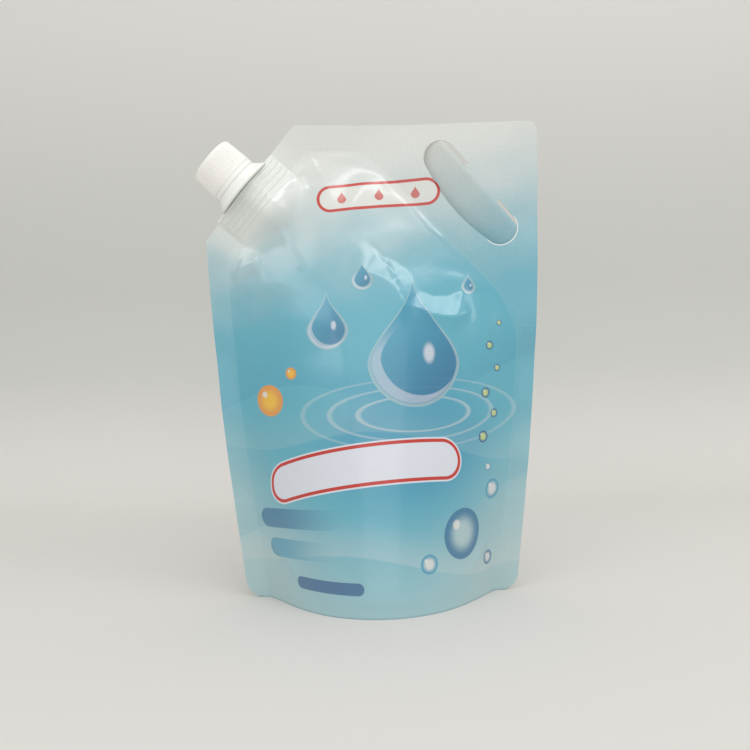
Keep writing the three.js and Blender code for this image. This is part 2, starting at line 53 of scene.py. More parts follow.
# Film panels, cut corner, seals and filled shape: the sizes of the CAD solids
PANEL_WIDTH, PANEL_HEIGHT, FILM = 180.0, 252.0, 0.3
SIDE_SEAL, TOP_SEAL = 10.0, 14.0
TOP_CORNER_RADIUS, CUT_CORNER_RADIUS, BOTTOM_CORNER_RADIUS = 6.0, 5.0, 9.0
CUT_HEIGHT, CUT_ANGLE, CUT_SEAL = 60.0, math.radians(50.5), 13.0
HANDLE_SEAL_START, HANDLE_SEAL_ANGLE, SEAL_BLEND = -3.0, math.radians(46.8), 20.0
BASE_DEPTH, TAPER_POWER, ARCH_POWER = 44.7, 1.185, 1.15
NOD_ANGLE, NOD_LENGTH, NOD_MARGIN = math.radians(9.5), 30.0, 2.0
HANDLE_CENTRE = np.array([53.75, 214.7])
HANDLE_TILT, HANDLE_SPAN, HANDLE_RADIUS, HANDLE_BELLY = math.radians(50), 50.3, 9.1, 3.3
HINGE_LENGTH, HINGE_INSET, FLAP_ANGLE = 26.0, 2.2, math.radians(20)
GUSSET_HEIGHT, GUSSET_WELD, GUSSET_FILM, GUSSET_WING = 51.0, 6.0, 0.25, 0.3
WING_ROOT, WING_OVERLAP, WING_FADE, WELD_POWER, WEB_GAP = 4.0, 1.0, 3.0, 4.0, 0.45

# Spout, tamper band and cap. The cap is 1.4 mm lower than the solid's, as the photo shows it.
SPOUT_ALONG, SPOUT_SETBACK, SPOUT_ANGLE = 35.0, 0.5, math.radians(48)
BORE_RADIUS, NECK_WALL, NECK_CHAMFER = 8.2, 2.5, 0.6
FLANGE_RADIUS, FLANGE_RIM, FLANGE_HEIGHT = 17.3, 1.8, 5.9
BEAD_DEPTH, BEAD_HEIGHT = 1.1, 1.3
BOAT_WALL, BOAT_LENGTH, BOAT_DEPTH = 2.0, 45.0, 14.0
BOAT_RIBS, BOAT_RIB, BOAT_GROOVE, BOAT_FILM_GAP, BOAT_FADE = 5, 1.3, 0.9, 0.7, 26.0
CAP_GAP, CAP_WALL, CAP_TAPER, CAP_HEIGHT, CAP_ROOF, CAP_ROUND = 0.4, 1.3, 0.5, 14.8, 1.8, 2.4
PLUG_DEPTH, PLUG_WALL, BAND_HEIGHT, BAND_WALL, BAND_LIP, TURN_GAP = 3.0, 1.0, 2.5, 1.1, 1.0, 0.3

HALF_WIDTH = PANEL_WIDTH / 2
BODY_HALF = HALF_WIDTH - SIDE_SEAL
BODY_TOP = PANEL_HEIGHT - TOP_SEAL
CUT_FOOT = PANEL_HEIGHT - CUT_HEIGHT
SEAT_X = -HALF_WIDTH + SPOUT_ALONG * math.cos(CUT_ANGLE) + SPOUT_SETBACK * math.sin(CUT_ANGLE)
SEAT_Z = CUT_FOOT + SPOUT_ALONG * math.sin(CUT_ANGLE) - SPOUT_SETBACK * math.cos(CUT_ANGLE)
NECK_RADIUS = BORE_RADIUS + NECK_WALL
BOAT_RADIUS = BORE_RADIUS + BOAT_WALL
CAP_INNER = NECK_RADIUS + BEAD_DEPTH + CAP_GAP
CAP_RADIUS = CAP_INNER + CAP_WALL
BAND_BASE = FLANGE_HEIGHT + TURN_GAP
CAP_BASE = BAND_BASE + BAND_HEIGHT + TURN_GAP
CAP_TOP = CAP_BASE + CAP_HEIGHT
CAP_CEILING = CAP_TOP - CAP_ROOF
NECK_TOP = CAP_CEILING - TURN_GAP
RIB_PITCH = (BOAT_DEPTH - BOAT_RIB) / (BOAT_RIBS - 1)
NOD_START = -(BOAT_DEPTH + NOD_MARGIN + NOD_LENGTH)
NOD_RADIUS = NOD_LENGTH / NOD_ANGLE
HINGE_OFFSET = HANDLE_RADIUS - HINGE_INSET
SHIFT = np.array([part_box("front_panel")[1].x / MM - HALF_WIDTH, 0.0, 0.0])

# Mesh fineness and fine detail that only the looks carry
FINE_STEP, COARSE_STEP, FINE_ABOVE = 1.0, 2.0, 142.0
FINEST_STEP, FINEST_LOW, FINEST_HIGH = 0.5, (-80.0, 190.0), (-24.0, 241.0)
LOOK_GAP, LOOK_KERF = 0.05, 0.14
THREAD_PITCH, THREAD_TURNS, THREAD_HEIGHT, THREAD_WIDTH = 3.2, 2.1, 0.75, 1.3
THREAD_START = CAP_BASE + BEAD_HEIGHT + 1.6
KNURLS, KNURL_DEPTH = 90, 0.26
BRIDGES = 12


def joined(*columns):
    return np.stack(columns, -1)


def smooth_step(low, high, value):
    t = np.clip((value - low) / (high - low), 0, 1)
    return t * t * (3 - 2 * t)


def smooth_min(a, b, blend):
    h = np.clip(0.5 + (b - a) / (2 * blend), 0, 1)
    return b + (a - b) * h - blend * h * (1 - h)


def turned(x, y, angle):
    """The same place in axes turned anticlockwise by the angle."""
    c, s = math.cos(angle), math.sin(angle)
    return x * c + y * s, y * c - x * s


# Spout frame: along the cut, and out away from the contents

def to_spout(x, z):
    return turned(x - SEAT_X, z - SEAT_Z, SPOUT_ANGLE)


def from_spout(along, y, out):
    along, y, out = np.broadcast_arrays(along, y, out)
    x, z = turned(along, out, -SPOUT_ANGLE)
    return joined(SEAT_X + x, y, SEAT_Z + z)


def nod(points):
    """Bends the spout corner forward, as the film does under the cap's weight."""
    along, out = to_spout(points[..., 0], points[..., 2])
    reach = np.maximum(out - NOD_START, 0)
    angle = np.minimum(reach / NOD_RADIUS, NOD_ANGLE)
    straight = np.maximum(reach - NOD_LENGTH, 0)
    arm = NOD_RADIUS + points[..., 1]
    y = arm * np.cos(angle) - NOD_RADIUS - straight * np.sin(angle)
    bent = from_spout(along, y, NOD_START + arm * np.sin(angle) + straight * np.cos(angle))
    return np.where((out > NOD_START)[..., None], bent, points)


# Outline of the flat panel

def cut_edge(z):
    centre_x = (-HALF_WIDTH + CUT_HEIGHT / math.tan(CUT_ANGLE)
                + CUT_CORNER_RADIUS * math.tan(CUT_ANGLE / 2))
    rise = z - (PANEL_HEIGHT - CUT_CORNER_RADIUS)
    if rise > CUT_CORNER_RADIUS * math.cos(CUT_ANGLE):
        return centre_x - math.sqrt(max(CUT_CORNER_RADIUS ** 2 - rise ** 2, 0))
    return -HALF_WIDTH + (z - CUT_FOOT) / math.tan(CUT_ANGLE)


def corner_inset(radius, distance):
    inside = max(radius - distance, 0)
    return radius - math.sqrt(radius ** 2 - inside ** 2)


def left_edge(z):
    if z < CUT_FOOT:
        return -HALF_WIDTH + corner_inset(BOTTOM_CORNER_RADIUS, z)
    flange = SEAT_X + ((z - SEAT_Z) * math.cos(SPOUT_ANGLE) + LOOK_GAP) / math.sin(SPOUT_ANGLE)
    under = abs(to_spout(flange, z)[0]) < FLANGE_RADIUS + LOOK_GAP
    return max(flange, cut_edge(z)) if under else cut_edge(z)


def right_edge(z):
    bottom = corner_inset(BOTTOM_CORNER_RADIUS, z)
    return HALF_WIDTH - bottom - corner_inset(TOP_CORNER_RADIUS, PANEL_HEIGHT - z)


def panel_outline():
    """Corners of the flat web, anticlockwise seen from the front."""
    fine = list(np.arange(0, BOTTOM_CORNER_RADIUS, 0.5))
    body = list(np.arange(BOTTOM_CORNER_RADIUS, CUT_FOOT, COARSE_STEP * 0.7))
    top = list(np.arange(CUT_FOOT, PANEL_HEIGHT - TOP_CORNER_RADIUS, FINE_STEP * 0.8))
    corner = list(PANEL_HEIGHT - TOP_CORNER_RADIUS * np.linspace(1, 0, 14) ** 2)
    levels = fine + body + top + corner
    right = [(right_edge(z), z) for z in levels]
    left = [(left_edge(z), z) for z in levels]
    across = int((right[-1][0] - left[-1][0]) / FINE_STEP)
    along_top = [(x, PANEL_HEIGHT) for x in np.linspace(right[-1][0], left[-1][0], across)][1:-1]
    foot = [(x, 0.0) for x in np.linspace(left[0][0], right[0][0], 130)][1:-1]
    return np.array(foot + right + along_top + left[::-1])


# Filled body of the pouch

def body_left(z):
    level = np.minimum(z, BODY_TOP)
    slant = (-HALF_WIDTH + (level - CUT_FOOT) / math.tan(CUT_ANGLE)
             + CUT_SEAL / math.sin(CUT_ANGLE))
    return -smooth_min(BODY_HALF, -slant, SEAL_BLEND)


def body_right(z):
    level = np.minimum(z, BODY_TOP)
    slant = HANDLE_SEAL_START + (BODY_TOP - level) / math.tan(HANDLE_SEAL_ANGLE)
    return smooth_min(BODY_HALF, slant, SEAL_BLEND)


def body_share(u, z):
    left = body_left(z)
    return (u - left) / (body_right(z) - left)


def body_depth(u, z):
    share = np.clip(body_share(u, z), 0, 1)
    centre = BASE_DEPTH * (1 - (np.clip(z, 0, BODY_TOP) / BODY_TOP) ** TAPER_POWER)
    return centre * np.maximum(np.sin(np.pi * share), 0) ** ARCH_POWER


def weld_level(u):
    """Height of the curved weld between the gusset and the panels."""
    share = np.minimum(np.abs(u) / BODY_HALF, 1)
    return GUSSET_WELD + (GUSSET_HEIGHT - GUSSET_WELD) * share ** WELD_POWER


def spread(u, z):
    """Place across, so that the arched film keeps its length."""
    steps = 40
    shares = np.linspace(0, 1, steps + 1)[:, None]
    depth = body_depth(u * shares, z)
    run = np.sqrt(np.maximum((u / steps) ** 2 - np.diff(depth, axis=0) ** 2, 0)).sum(0)
    return np.sign(u) * run


def boat_half(along, radius, tip):
    distance = np.abs(along)
    touch = radius ** 2 / tip
    round_part = np.sqrt(np.maximum(radius ** 2 - distance ** 2, 0))
    flank = np.maximum(tip - distance, 0) * radius / math.sqrt(tip ** 2 - radius ** 2)
    return np.where(distance < touch, round_part, flank)


def boat_wrap(x, z):
    along, out = to_spout(x, z)
    fade = smooth_step(-BOAT_DEPTH - BOAT_FADE, -BOAT_DEPTH - BOAT_FILM_GAP, out)
    return fade * boat_half(along, BOAT_RADIUS + BOAT_FILM_GAP, BOAT_LENGTH / 2 + BOAT_FILM_GAP)


def inner_face(u, z):
    x = spread(u, z)
    depth = np.hypot(body_depth(u, z), boat_wrap(x, z))
    wing = GUSSET_WING * (1 - smooth_step(GUSSET_HEIGHT, GUSSET_HEIGHT + WING_FADE, z))
    return joined(x, -np.maximum(depth, wing), z)


def face_normal(u, z, step=0.5):
    across = inner_face(u + step, z) - inner_face(u - step, z)
    up = inner_face(u, z + step) - inner_face(u, z - step)
    normal = np.cross(across, up)
    return normal / np.linalg.norm(normal, axis=-1, keepdims=True)


# Wrinkles, creases and embossing of the film, in millimetres off its smooth face

RIB_RELIEF, WELD_RELIEF = 0.42, 0.14
PLEAT_FADE, PLEAT_CURVE, PLEAT_JITTER = 0.22, 1.7, 0.4
BROAD_SWAY, SHORT_SWAY, PUCKER = 0.55, 0.3, 0.18
EDGE_SWAY, EDGE_RIPPLE, TOP_SWAY = 0.9, 0.35, 0.8


def ridge(u, z, start, end, width, height, sharp=1.0):
    (a, b), (c, d) = start, end
    length = math.hypot(c - a, d - b)
    t = ((u - a) * (c - a) + (z - b) * (d - b)) / length ** 2
    off = ((z - b) * (c - a) - (u - a) * (d - b)) / length
    ends = smooth_step(-0.08, 0.3, t) * smooth_step(-0.08, 0.3, 1 - t)
    return height * ends * np.exp(-np.abs(off / width) ** (1 + sharp))


def seal_inside(u, z):
    """Nearness to the unsealed body: 0 in the seals, 1 well inside."""
    share = body_share(u, z)
    inside = smooth_step(0, 0.1, np.minimum(share, 1 - share))
    return inside * smooth_step(BODY_TOP, BODY_TOP - 8, z)


FRONT_CREASES = (
    # start, end, width, height, sharpness
    ((-37.5, 229.0), (-31.0, 217.0), 2.2, -0.5, 0.8),
    ((-81.2, 199.0), (-79.0, 193.2), 0.6, 0.45, 0.4),
    ((-84.2, 197.6), (-82.6, 191.8), 0.5, 0.3, 0.4),
    ((-76.8, 200.5), (-75.8, 195.0), 0.6, 0.35, 0.4),
    ((0.0, 187.0), (7.0, 177.0), 0.9, -0.4, 0.4),
    ((7.0, 177.0), (11.5, 168.0), 0.9, -0.4, 0.4),
    ((11.5, 168.0), (15.0, 155.5), 0.9, -0.35, 0.4),
    ((-2.0, 226.0), (-14.0, 196.0), 5.0, 0.5, 0.8),
    ((52.0, 168.0), (40.0, 140.0), 3.8, 0.5, 0.8),
    ((66.0, 150.0), (55.0, 118.0), 3.6, 0.4, 0.8),
    ((71.5, 128.0), (70.0, 84.0), 1.6, -0.3, 0.8),
    ((-73.0, 96.0), (-62.0, 62.0), 5.0, 0.4, 0.9),
    ((-66.0, 30.0), (-46.0, 16.0), 3.0, 0.5, 0.8),
    ((67.0, 30.0), (50.0, 15.0), 3.0, 0.5, 0.8),
)
FRONT_PLEATS = (
    # path, reach on its left, reach on its right, height
    (((-34.8, 240.5), (-37.6, 231.5), (-40.8, 224.5)), 2.4, 1.3, 0.95),
    (((-34.6, 239.5), (-30.0, 231.0), (-26.0, 222.5)), 2.0, 4.5, 0.55),
    (((-50.5, 199.0), (-44.0, 186.0), (-37.0, 173.0)), 3.0, 6.0, 0.6),
    (((-81.0, 175.0), (-60.0, 181.0)), 10.0, 13.0, 1.65),
    (((-81.5, 184.2), (-72.0, 192.6)), 0.6, 0.5, 0.35),
    (((-13.0, 181.0), (-3.5, 171.8), (5.0, 167.6), (9.6, 163.8), (14.0, 154.0), (22.0, 147.5)),
     12.0, 15.0, 1.25),
    (((16.0, 153.5), (29.0, 148.0), (42.0, 147.5), (56.0, 151.0)), 11.0, 9.0, 1.45),
    (((-1.0, 236.4), (22.8, 208.6), (40.5, 189.0), (74.0, 157.0)), 1.4, 2.6, 0.3),
    (((20.0, 211.5), (32.0, 195.5), (43.0, 186.5)), 4.2, 2.0, 0.5),
)


def pleat(u, z, path, left_reach, right_reach, height):
    """A bent crease with a sharp crest, flat to the left of its path and soft to the right."""
    corners = np.array(path)
    run = np.concatenate([[0], np.cumsum(np.hypot(*np.diff(corners, axis=0).T))])
    best, profile = np.full(u.shape, 1e9), np.zeros(u.shape)
    for i in range(len(corners) - 1):
        (a, b), (c, d) = corners[i], corners[i + 1]
        length = run[i + 1] - run[i]
        t = np.clip(((u - a) * (c - a) + (z - b) * (d - b)) / length ** 2, 0, 1)
        du, dz = u - a - t * (c - a), z - b - t * (d - b)
        away = np.hypot(du, dz)
        left = dz * (c - a) - du * (d - b) > 0
        fall = np.where(left, np.maximum(1 - away / left_reach, 0),
                        np.maximum(1 - away / right_reach, 0) ** PLEAT_CURVE)
        share = (run[i] + t * length) / run[-1]
        ends = smooth_step(0, PLEAT_FADE, share) * smooth_step(0, PLEAT_FADE, 1 - share)
        profile = np.where(away < best, fall * ends, profile)
        best = np.minimum(best, away)
    return height * profile


def emboss(u, z, x):
    """Ribs of the weld boat seen through the film, and the curved weld of the gusset."""
    along, out = to_spout(x, z)
    phase = (out + BOAT_DEPTH - BOAT_RIB / 2) / RIB_PITCH
    rib = (0.5 + 0.5 * np.cos(2 * np.pi * phase)) ** 4
    on_boat = smooth_step(-BOAT_DEPTH - 1, -BOAT_DEPTH + 0.4, out)
    on_boat = on_boat * smooth_step(BOAT_LENGTH / 2 + 1.5, BOAT_LENGTH / 2 - 2.5, np.abs(along))
    weld = weld_level(u)
    step = smooth_step(-0.6, 0.6, z - weld) * smooth_step(weld + 14, weld, z)
    return RIB_RELIEF * rib * on_boat + WELD_RELIEF * step


def own_relief(u, z, x, front):
    """What one web does by itself, along its own normal."""
    total = emboss(u, z, x)
    inside = seal_inside(u, z)
    if front:
        for crease in FRONT_CREASES:
            total = total + ridge(u, z, *crease)
        uneven = PLEAT_JITTER * (np.sin(u / 5.3 + z / 9) + np.sin(z / 4.1 - u / 7))
        for crease in FRONT_PLEATS:
            total = total + pleat(u + uneven, z - uneven, *crease)
    turn = 1.0 if front else 2.3
    broad = (BROAD_SWAY * np.sin(u / 17 + z / 23 + turn) * np.sin(z / 19 - u / 31 + turn)
             + SHORT_SWAY * np.sin(u / 7.3 - z / 11 + 2 * turn) * np.sin(z / 8.1 + u / 13))
    height = 0.35 + 0.65 * smooth_step(90, 200, z)
    near_edge = 1 - smooth_step(0, 0.22, np.minimum(body_share(u, z), 1 - body_share(u, z)))
    pucker = PUCKER * np.sin(z / 2.9 + np.sin(z / 9) * 2 + turn) * near_edge
    return total + inside * (broad * height + pucker)


def common_sway(u, z, x):
    """The slight waviness of the welded edges, shared by both webs."""
    out = to_spout(x, z)[1]
    free = 1 - smooth_step(-34, -18, out)
    free = free * smooth_step(GUSSET_HEIGHT, GUSSET_HEIGHT + 40, z)
    edge = smooth_step(BODY_HALF - 14, HALF_WIDTH, np.abs(u))
    top = smooth_step(BODY_TOP - 20, PANEL_HEIGHT, z)
    side = edge * (EDGE_SWAY * np.sin(z / 15.5 + 0.6 * np.sign(u))
                   + EDGE_RIPPLE * np.sin(z / 6.1))
    return free * (side + TOP_SWAY * top * np.sin(u / 21 + 1.2))


# Die-cut handle slot with its flap

def slot_outline(inset):
    """Slot outline in its own frame, or the flap's outline where inset is the kerf."""
    half, radius, belly = HANDLE_SPAN / 2, HANDLE_RADIUS - inset, HANDLE_BELLY
    hinge = HINGE_LENGTH / 2
    belly_radius = (half ** 2 + belly ** 2) / (2 * belly) - inset
    angle = math.atan2(half, (half ** 2 - belly ** 2) / (2 * belly))
    centre = -HANDLE_RADIUS - belly + belly_radius + inset

    def arc(cx, cy, r, start, end, count):
        return [(cx + r * math.cos(t), cy + r * math.sin(t))
                for t in np.linspace(start, end, count)]

    quarter = math.pi / 2
    points = [(hinge, HINGE_OFFSET), (hinge + inset, HINGE_OFFSET), (hinge + inset, radius)]
    if not inset:
        points = [(hinge, HINGE_OFFSET), (hinge, radius)]
    points += [(x, radius) for x in np.arange(points[-1][0] + 1, half - 0.3)]
    points += arc(half, 0, radius, quarter, angle - quarter, 34)
    points += arc(0, centre, belly_radius, angle - quarter, -quarter - angle, 46)[1:-1]
    points += arc(-half, 0, radius, -quarter - angle, -3 * quarter, 34)
    mirrored = [(-x, y) for x, y in points[:3 + int(half - 0.3 - hinge)][::-1]
                if y >= HINGE_OFFSET]
    tail = [(x, y) for x, y in mirrored if x > -half]
    return np.array(points + tail)


def slot_to_flat(points):
    return HANDLE_CENTRE + joined(*turned(points[:, 0], points[:, 1], HANDLE_TILT))


def flat_to_slot(u, z):
    return turned(u - HANDLE_CENTRE[0], z - HANDLE_CENTRE[1], -HANDLE_TILT)


def push_flap(points, inside):
    """Turns the flap back about its hinge, through a small bend."""
    bend = 2.2
    along, up = flat_to_slot(points[:, 0], points[:, 2])
    drop = np.maximum(HINGE_OFFSET - up, 0)
    angle = FLAP_ANGLE * np.minimum(drop / bend, 1)
    radius = bend / FLAP_ANGLE
    rest = np.maximum(drop - bend, 0)
    new_drop = radius * np.sin(angle) + rest * math.cos(FLAP_ANGLE)
    back = radius * (1 - np.cos(angle)) + rest * math.sin(FLAP_ANGLE)
    y = points[:, 1]
    flat = slot_to_flat(joined(along, HINGE_OFFSET - new_drop + y * np.sin(angle)))
    moved = joined(flat[:, 0], y * np.cos(angle) + back, flat[:, 1])
    return np.where(inside[:, None], moved, points)


# Flat triangulation of a web

def in_polygon(points, polygon):
    x, y = points[:, 0, None], points[:, 1, None]
    a, b = polygon, np.roll(polygon, -1, 0)
    crosses = (a[:, 1] > y) != (b[:, 1] > y)
    rise = np.where(a[:, 1] == b[:, 1], 1, b[:, 1] - a[:, 1])
    hit = x < a[:, 0] + (b[:, 0] - a[:, 0]) * (y - a[:, 1]) / rise
    return (crosses & hit).sum(1) % 2 == 1


def edge_distance(points, polygon):
    a, d = polygon, np.roll(polygon, -1, 0) - polygon
    size = np.maximum((d ** 2).sum(1), 1e-12)
    best = np.full(len(points), 1e9)
    for first in range(0, len(points), 4000):
        p = points[first:first + 4000, None, :] - a
        t = np.clip((p * d).sum(2) / size, 0, 1)
        best[first:first + 4000] = np.sqrt(((p - t[..., None] * d) ** 2).sum(2)).min(1)
    return best


def hex_points(step, low, high):
    rows = np.arange(low, high, step * 0.866)
    points = []
    for i, z in enumerate(rows):
        u = np.arange(-HALF_WIDTH + (i % 2) * step / 2, HALF_WIDTH, step)
        points.append(joined(u, np.full(len(u), z)))
    return np.concatenate(points)


def triangulate_web():
    """Flat points, triangles and which points lie on the flap."""
    outline = panel_outline()
    hole = slot_to_flat(slot_outline(0))
    flap = slot_to_flat(slot_outline(LOOK_KERF))
    coarse = hex_points(COARSE_STEP, 0, FINE_ABOVE)
    fine = hex_points(FINE_STEP, FINE_ABOVE, PANEL_HEIGHT)
    finest = hex_points(FINEST_STEP, FINEST_LOW[1], FINEST_HIGH[1])

    def beside_spout(points):
        return ((points > FINEST_LOW) & (points < FINEST_HIGH)).all(1)

    fill = np.concatenate([coarse, fine[~beside_spout(fine)], finest[beside_spout(finest)]])
    fill = fill[in_polygon(fill, outline)]
    room = np.where(fill[:, 1] < FINE_ABOVE, COARSE_STEP, FINE_STEP) * 0.45
    room[beside_spout(fill)] = FINEST_STEP * 0.5
    fill = fill[edge_distance(fill, outline) > room]
    fill = fill[edge_distance(fill, hole) > FINE_STEP * 0.55]
    fill = fill[edge_distance(fill, flap) > FINE_STEP * 0.45]
    loops = [outline, hole, flap]
    points = np.concatenate(loops + [fill])
    edges, first = [], 0
    for loop in loops:
        edges += [(first + i, first + (i + 1) % len(loop)) for i in range(len(loop))]
        first += len(loop)
    made = delaunay_2d_cdt([Vector(p) for p in points], edges, [], 0, 1e-5)
    flat = np.array([tuple(v) for v in made[0]])
    faces = np.array([f for f in made[2] if len(f) == 3])
    middle = flat[faces].mean(1)
    keep = in_polygon(middle, outline)
    in_hole, in_flap = in_polygon(middle, hole), in_polygon(middle, flap)
    on_flap = np.zeros(len(flat), bool)
    on_flap[faces[keep & in_flap].ravel()] = True
    faces = faces[keep & (~in_hole | in_flap)]
    used = np.unique(faces)
    renumber = np.zeros(len(flat), int)
    renumber[used] = np.arange(len(used))
    return flat[used], renumber[faces], on_flap[used]


def rim_edges(faces):
    """Edges that only one triangle uses, in that triangle's direction."""
    edges = np.concatenate([faces[:, [0, 1]], faces[:, [1, 2]], faces[:, [2, 0]]])
    key = np.sort(edges, 1)
    _, index, count = np.unique(key, axis=0, return_index=True, return_counts=True)
    return edges[index[count == 1]]


# Blender objects

def new_object(name, points, faces, material, uv=None, smooth=True, sharp=35):
    mesh = bpy.data.meshes.new(name)
    mesh.from_pydata((np.asarray(points) * MM).tolist(), [], faces)
    if uv is not None:
        layer = mesh.uv_layers.new(name="flat")
        corner = np.zeros(len(mesh.loops), np.int32)
        mesh.loops.foreach_get("vertex_index", corner)
        layer.data.foreach_set("uv", np.asarray(uv, np.float32)[corner].ravel())
    mesh.validate()
    obj = bpy.data.objects.new(name, mesh)
    bpy.context.scene.collection.objects.link(obj)
    if smooth:
        mesh.shade_smooth()
        mesh.set_sharp_from_angle(angle=math.radians(sharp))
    mesh.materials.append(material)
    return obj


def web_points(flat, on_flap, thickness, side):
    u, z = flat[:, 0], flat[:, 1]
    inner = inner_face(u, z)
    normal = face_normal(u, z)
    relief = own_relief(u, z, inner[:, 0], side < 0)
    sealed = 1 - smooth_step(0.2, 1.2, -inner[:, 1])
    relief = np.maximum(relief, -0.9 * (-inner[:, 1])) if thickness else relief
    points = inner + normal * (thickness + relief * (1 - 0.75 * sealed))[:, None]
    points[:, 1] = np.minimum(points[:, 1], -0.02 if not thickness else -0.1)
    points[:, 1] *= -side
    points[:, 1] += common_sway(u, z, inner[:, 0])
    points[:, 2] = np.where(z <= 0, 0, points[:, 2])
    return nod(push_flap(points, on_flap)) + SHIFT


def both_sides(faces, start, end, count):
    """Faces of a closed sheet: one side, the other count points on, and the rim between."""
    rim = joined(end, start, start + count, end + count)
    return faces.tolist() + (faces[:, ::-1] + count).tolist() + rim.tolist()


def web_object(name, side, flat, faces, on_flap, material):
    outer = web_points(flat, on_flap, FILM, side)
    inner = web_points(flat, on_flap, 0.0, side)
    faces = faces if side < 0 else faces[:, ::-1]
    place = joined(flat[:, 0] / PANEL_WIDTH + 0.5, flat[:, 1] / PANEL_HEIGHT)
    faces = both_sides(faces, *rim_edges(faces).T, len(flat))
    return new_object(name, np.concatenate([outer, inner]), faces, material,
                      np.concatenate([place, place]), sharp=50)


def grid_quads(grid):
    corners = [grid[:-1, :-1], grid[:-1, 1:], grid[1:, 1:], grid[1:, :-1]]
    return np.stack(corners, -1).reshape(-1, 4)


def loft(rings, wrap=False):
    """Points and quads through equal rings, closed at both ends or joined into a loop."""
    count, last = len(rings[0]), (len(rings) - 1) * len(rings[0])
    grid = np.arange(last + count).reshape(len(rings), count)
    grid = np.hstack([grid, grid[:, :1]])
    faces = grid_quads(np.vstack([grid, grid[:1]]) if wrap else grid).tolist()
    if not wrap:
        faces += [list(range(count))[::-1], list(range(last, last + count))]
    return np.concatenate(rings), faces


def merge_parts(parts):
    points, faces, first = [], [], 0
    for part_points, part_faces in parts:
        points.append(part_points)
        faces += [tuple(first + i for i in f) for f in part_faces]
        first += len(part_points)
    return np.concatenate(points), faces


def sheet_solid(front, back):
    """Closed sheet between two equal grids of points."""
    count = front.shape[0] * front.shape[1]
    grid = np.arange(count).reshape(front.shape[:2])
    loop = np.concatenate([grid[0, :], grid[1:, -1], grid[-1, -2::-1], grid[-2:0:-1, 0]])
    faces = both_sides(grid_quads(grid), loop, np.roll(loop, -1), count)
    return np.concatenate([front.reshape(-1, 3), back.reshape(-1, 3)]), faces


# Gusset

def gusset_section(u, inset):
    weld = weld_level(u)
    depth = body_depth(u, weld) - WEB_GAP
    web = np.maximum(GUSSET_HEIGHT - weld, depth)
    rise = np.sqrt(web ** 2 - depth ** 2)
    ridge_z = weld + rise - inset * web / depth
    return ridge_z - (depth - inset) * rise / depth, ridge_z


def gusset_face(columns, inset, arch_rows=22, skirt_rows=6):
    reach = BODY_HALF - WING_ROOT + WING_OVERLAP
    even = np.linspace(0, 1, columns + 1)
    share = even + ((1 - np.cos(np.pi * even)) / 2 - even) * 0.5
    u = np.clip(body_left(0.0) + (body_right(0.0) - body_left(0.0)) * share, -reach, reach)
    knee, top = gusset_section(u, inset)
    rows = []
    for row in range(-arch_rows - skirt_rows, arch_rows + skirt_rows + 1):
        distance, side = abs(row), np.sign(row)
        if distance > arch_rows:
            z = knee * (arch_rows + skirt_rows - distance) / skirt_rows
            depth = body_depth(u, z) - WEB_GAP - inset
        else:
            t = distance / arch_rows
            z = top + (knee - top) * t
            depth = (body_depth(u, knee) - WEB_GAP - inset) * t
        rows.append(joined(spread(u, z), side * depth, z))
    return np.stack(rows)


def gusset_wing(side):
    z = np.concatenate([np.arange(0, BOTTOM_CORNER_RADIUS, 1.0),
                        np.linspace(BOTTOM_CORNER_RADIUS, GUSSET_HEIGHT, 22)])
    columns = []
    for place in np.linspace(-1, 1, 9):
        edge = np.array([right_edge(level) for level in z]) - BODY_HALF
        u = (BODY_HALF - WING_ROOT * max(-place, 0) + edge * max(place, 0)) * side
        half = np.maximum(body_depth(u, z) - WEB_GAP - GUSSET_FILM / 2, GUSSET_WING * 0.9)
        columns.append(joined(spread(u, z), half, z))
    far = np.stack(columns, 1)
    near = far * (1, -1, 1)
    return sheet_solid(near, far) if side > 0 else sheet_solid(far, near)


def gusset_object(material):
    upper, lower = gusset_face(96, 0.0), gusset_face(96, GUSSET_FILM)
    points, faces = merge_parts([sheet_solid(lower, upper), gusset_wing(1), gusset_wing(-1)])
    uv = joined(points[:, 0] / PANEL_WIDTH + 0.5, points[:, 1] / PANEL_WIDTH + 0.5)
    return new_object("gusset_web", points + SHIFT, faces, material, uv, sharp=50)


# Spout, band and cap, each made in the spout's own frame: z outward along the bore

def spout_matrix():
    origin = nod(from_spout(0.0, 0.0, 0.0))
    along = nod(from_spout(1.0, 0.0, 0.0)) - origin
    outward = nod(from_spout(0.0, 0.0, 1.0)) - origin
    back = np.cross(outward, along)
    return origin, np.stack([along, back, outward])


def place_on_spout(points):
    origin, axes = spout_matrix()
    return points @ axes + origin + SHIFT


def ring(radius, level, angles):
    radius = np.broadcast_to(radius, angles.shape)
    return np.stack([radius * np.cos(angles), radius * np.sin(angles),
                     np.full(angles.shape, float(level))], -1)


def boat_radius(angles, radius, tip):
    """Distance from the axis to the boat's outline: a circle drawn out to two tips."""
    touch = math.acos(radius / tip)
    from_tip = np.abs((angles + np.pi / 2) % np.pi - np.pi / 2)
    flank = radius / np.cos(np.minimum(touch - from_tip, touch))
    return np.where(from_tip < touch, flank, radius)


def boat_angles():
    near_tip, count = 0.5, 22
    quarter = np.concatenate([np.linspace(0, near_tip, count, endpoint=False),
                              np.linspace(near_tip, np.pi / 2, count)])
    half = np.concatenate([quarter, np.pi - quarter[-2::-1]])
    return np.concatenate([half[:-1], np.pi + half[:-1]])


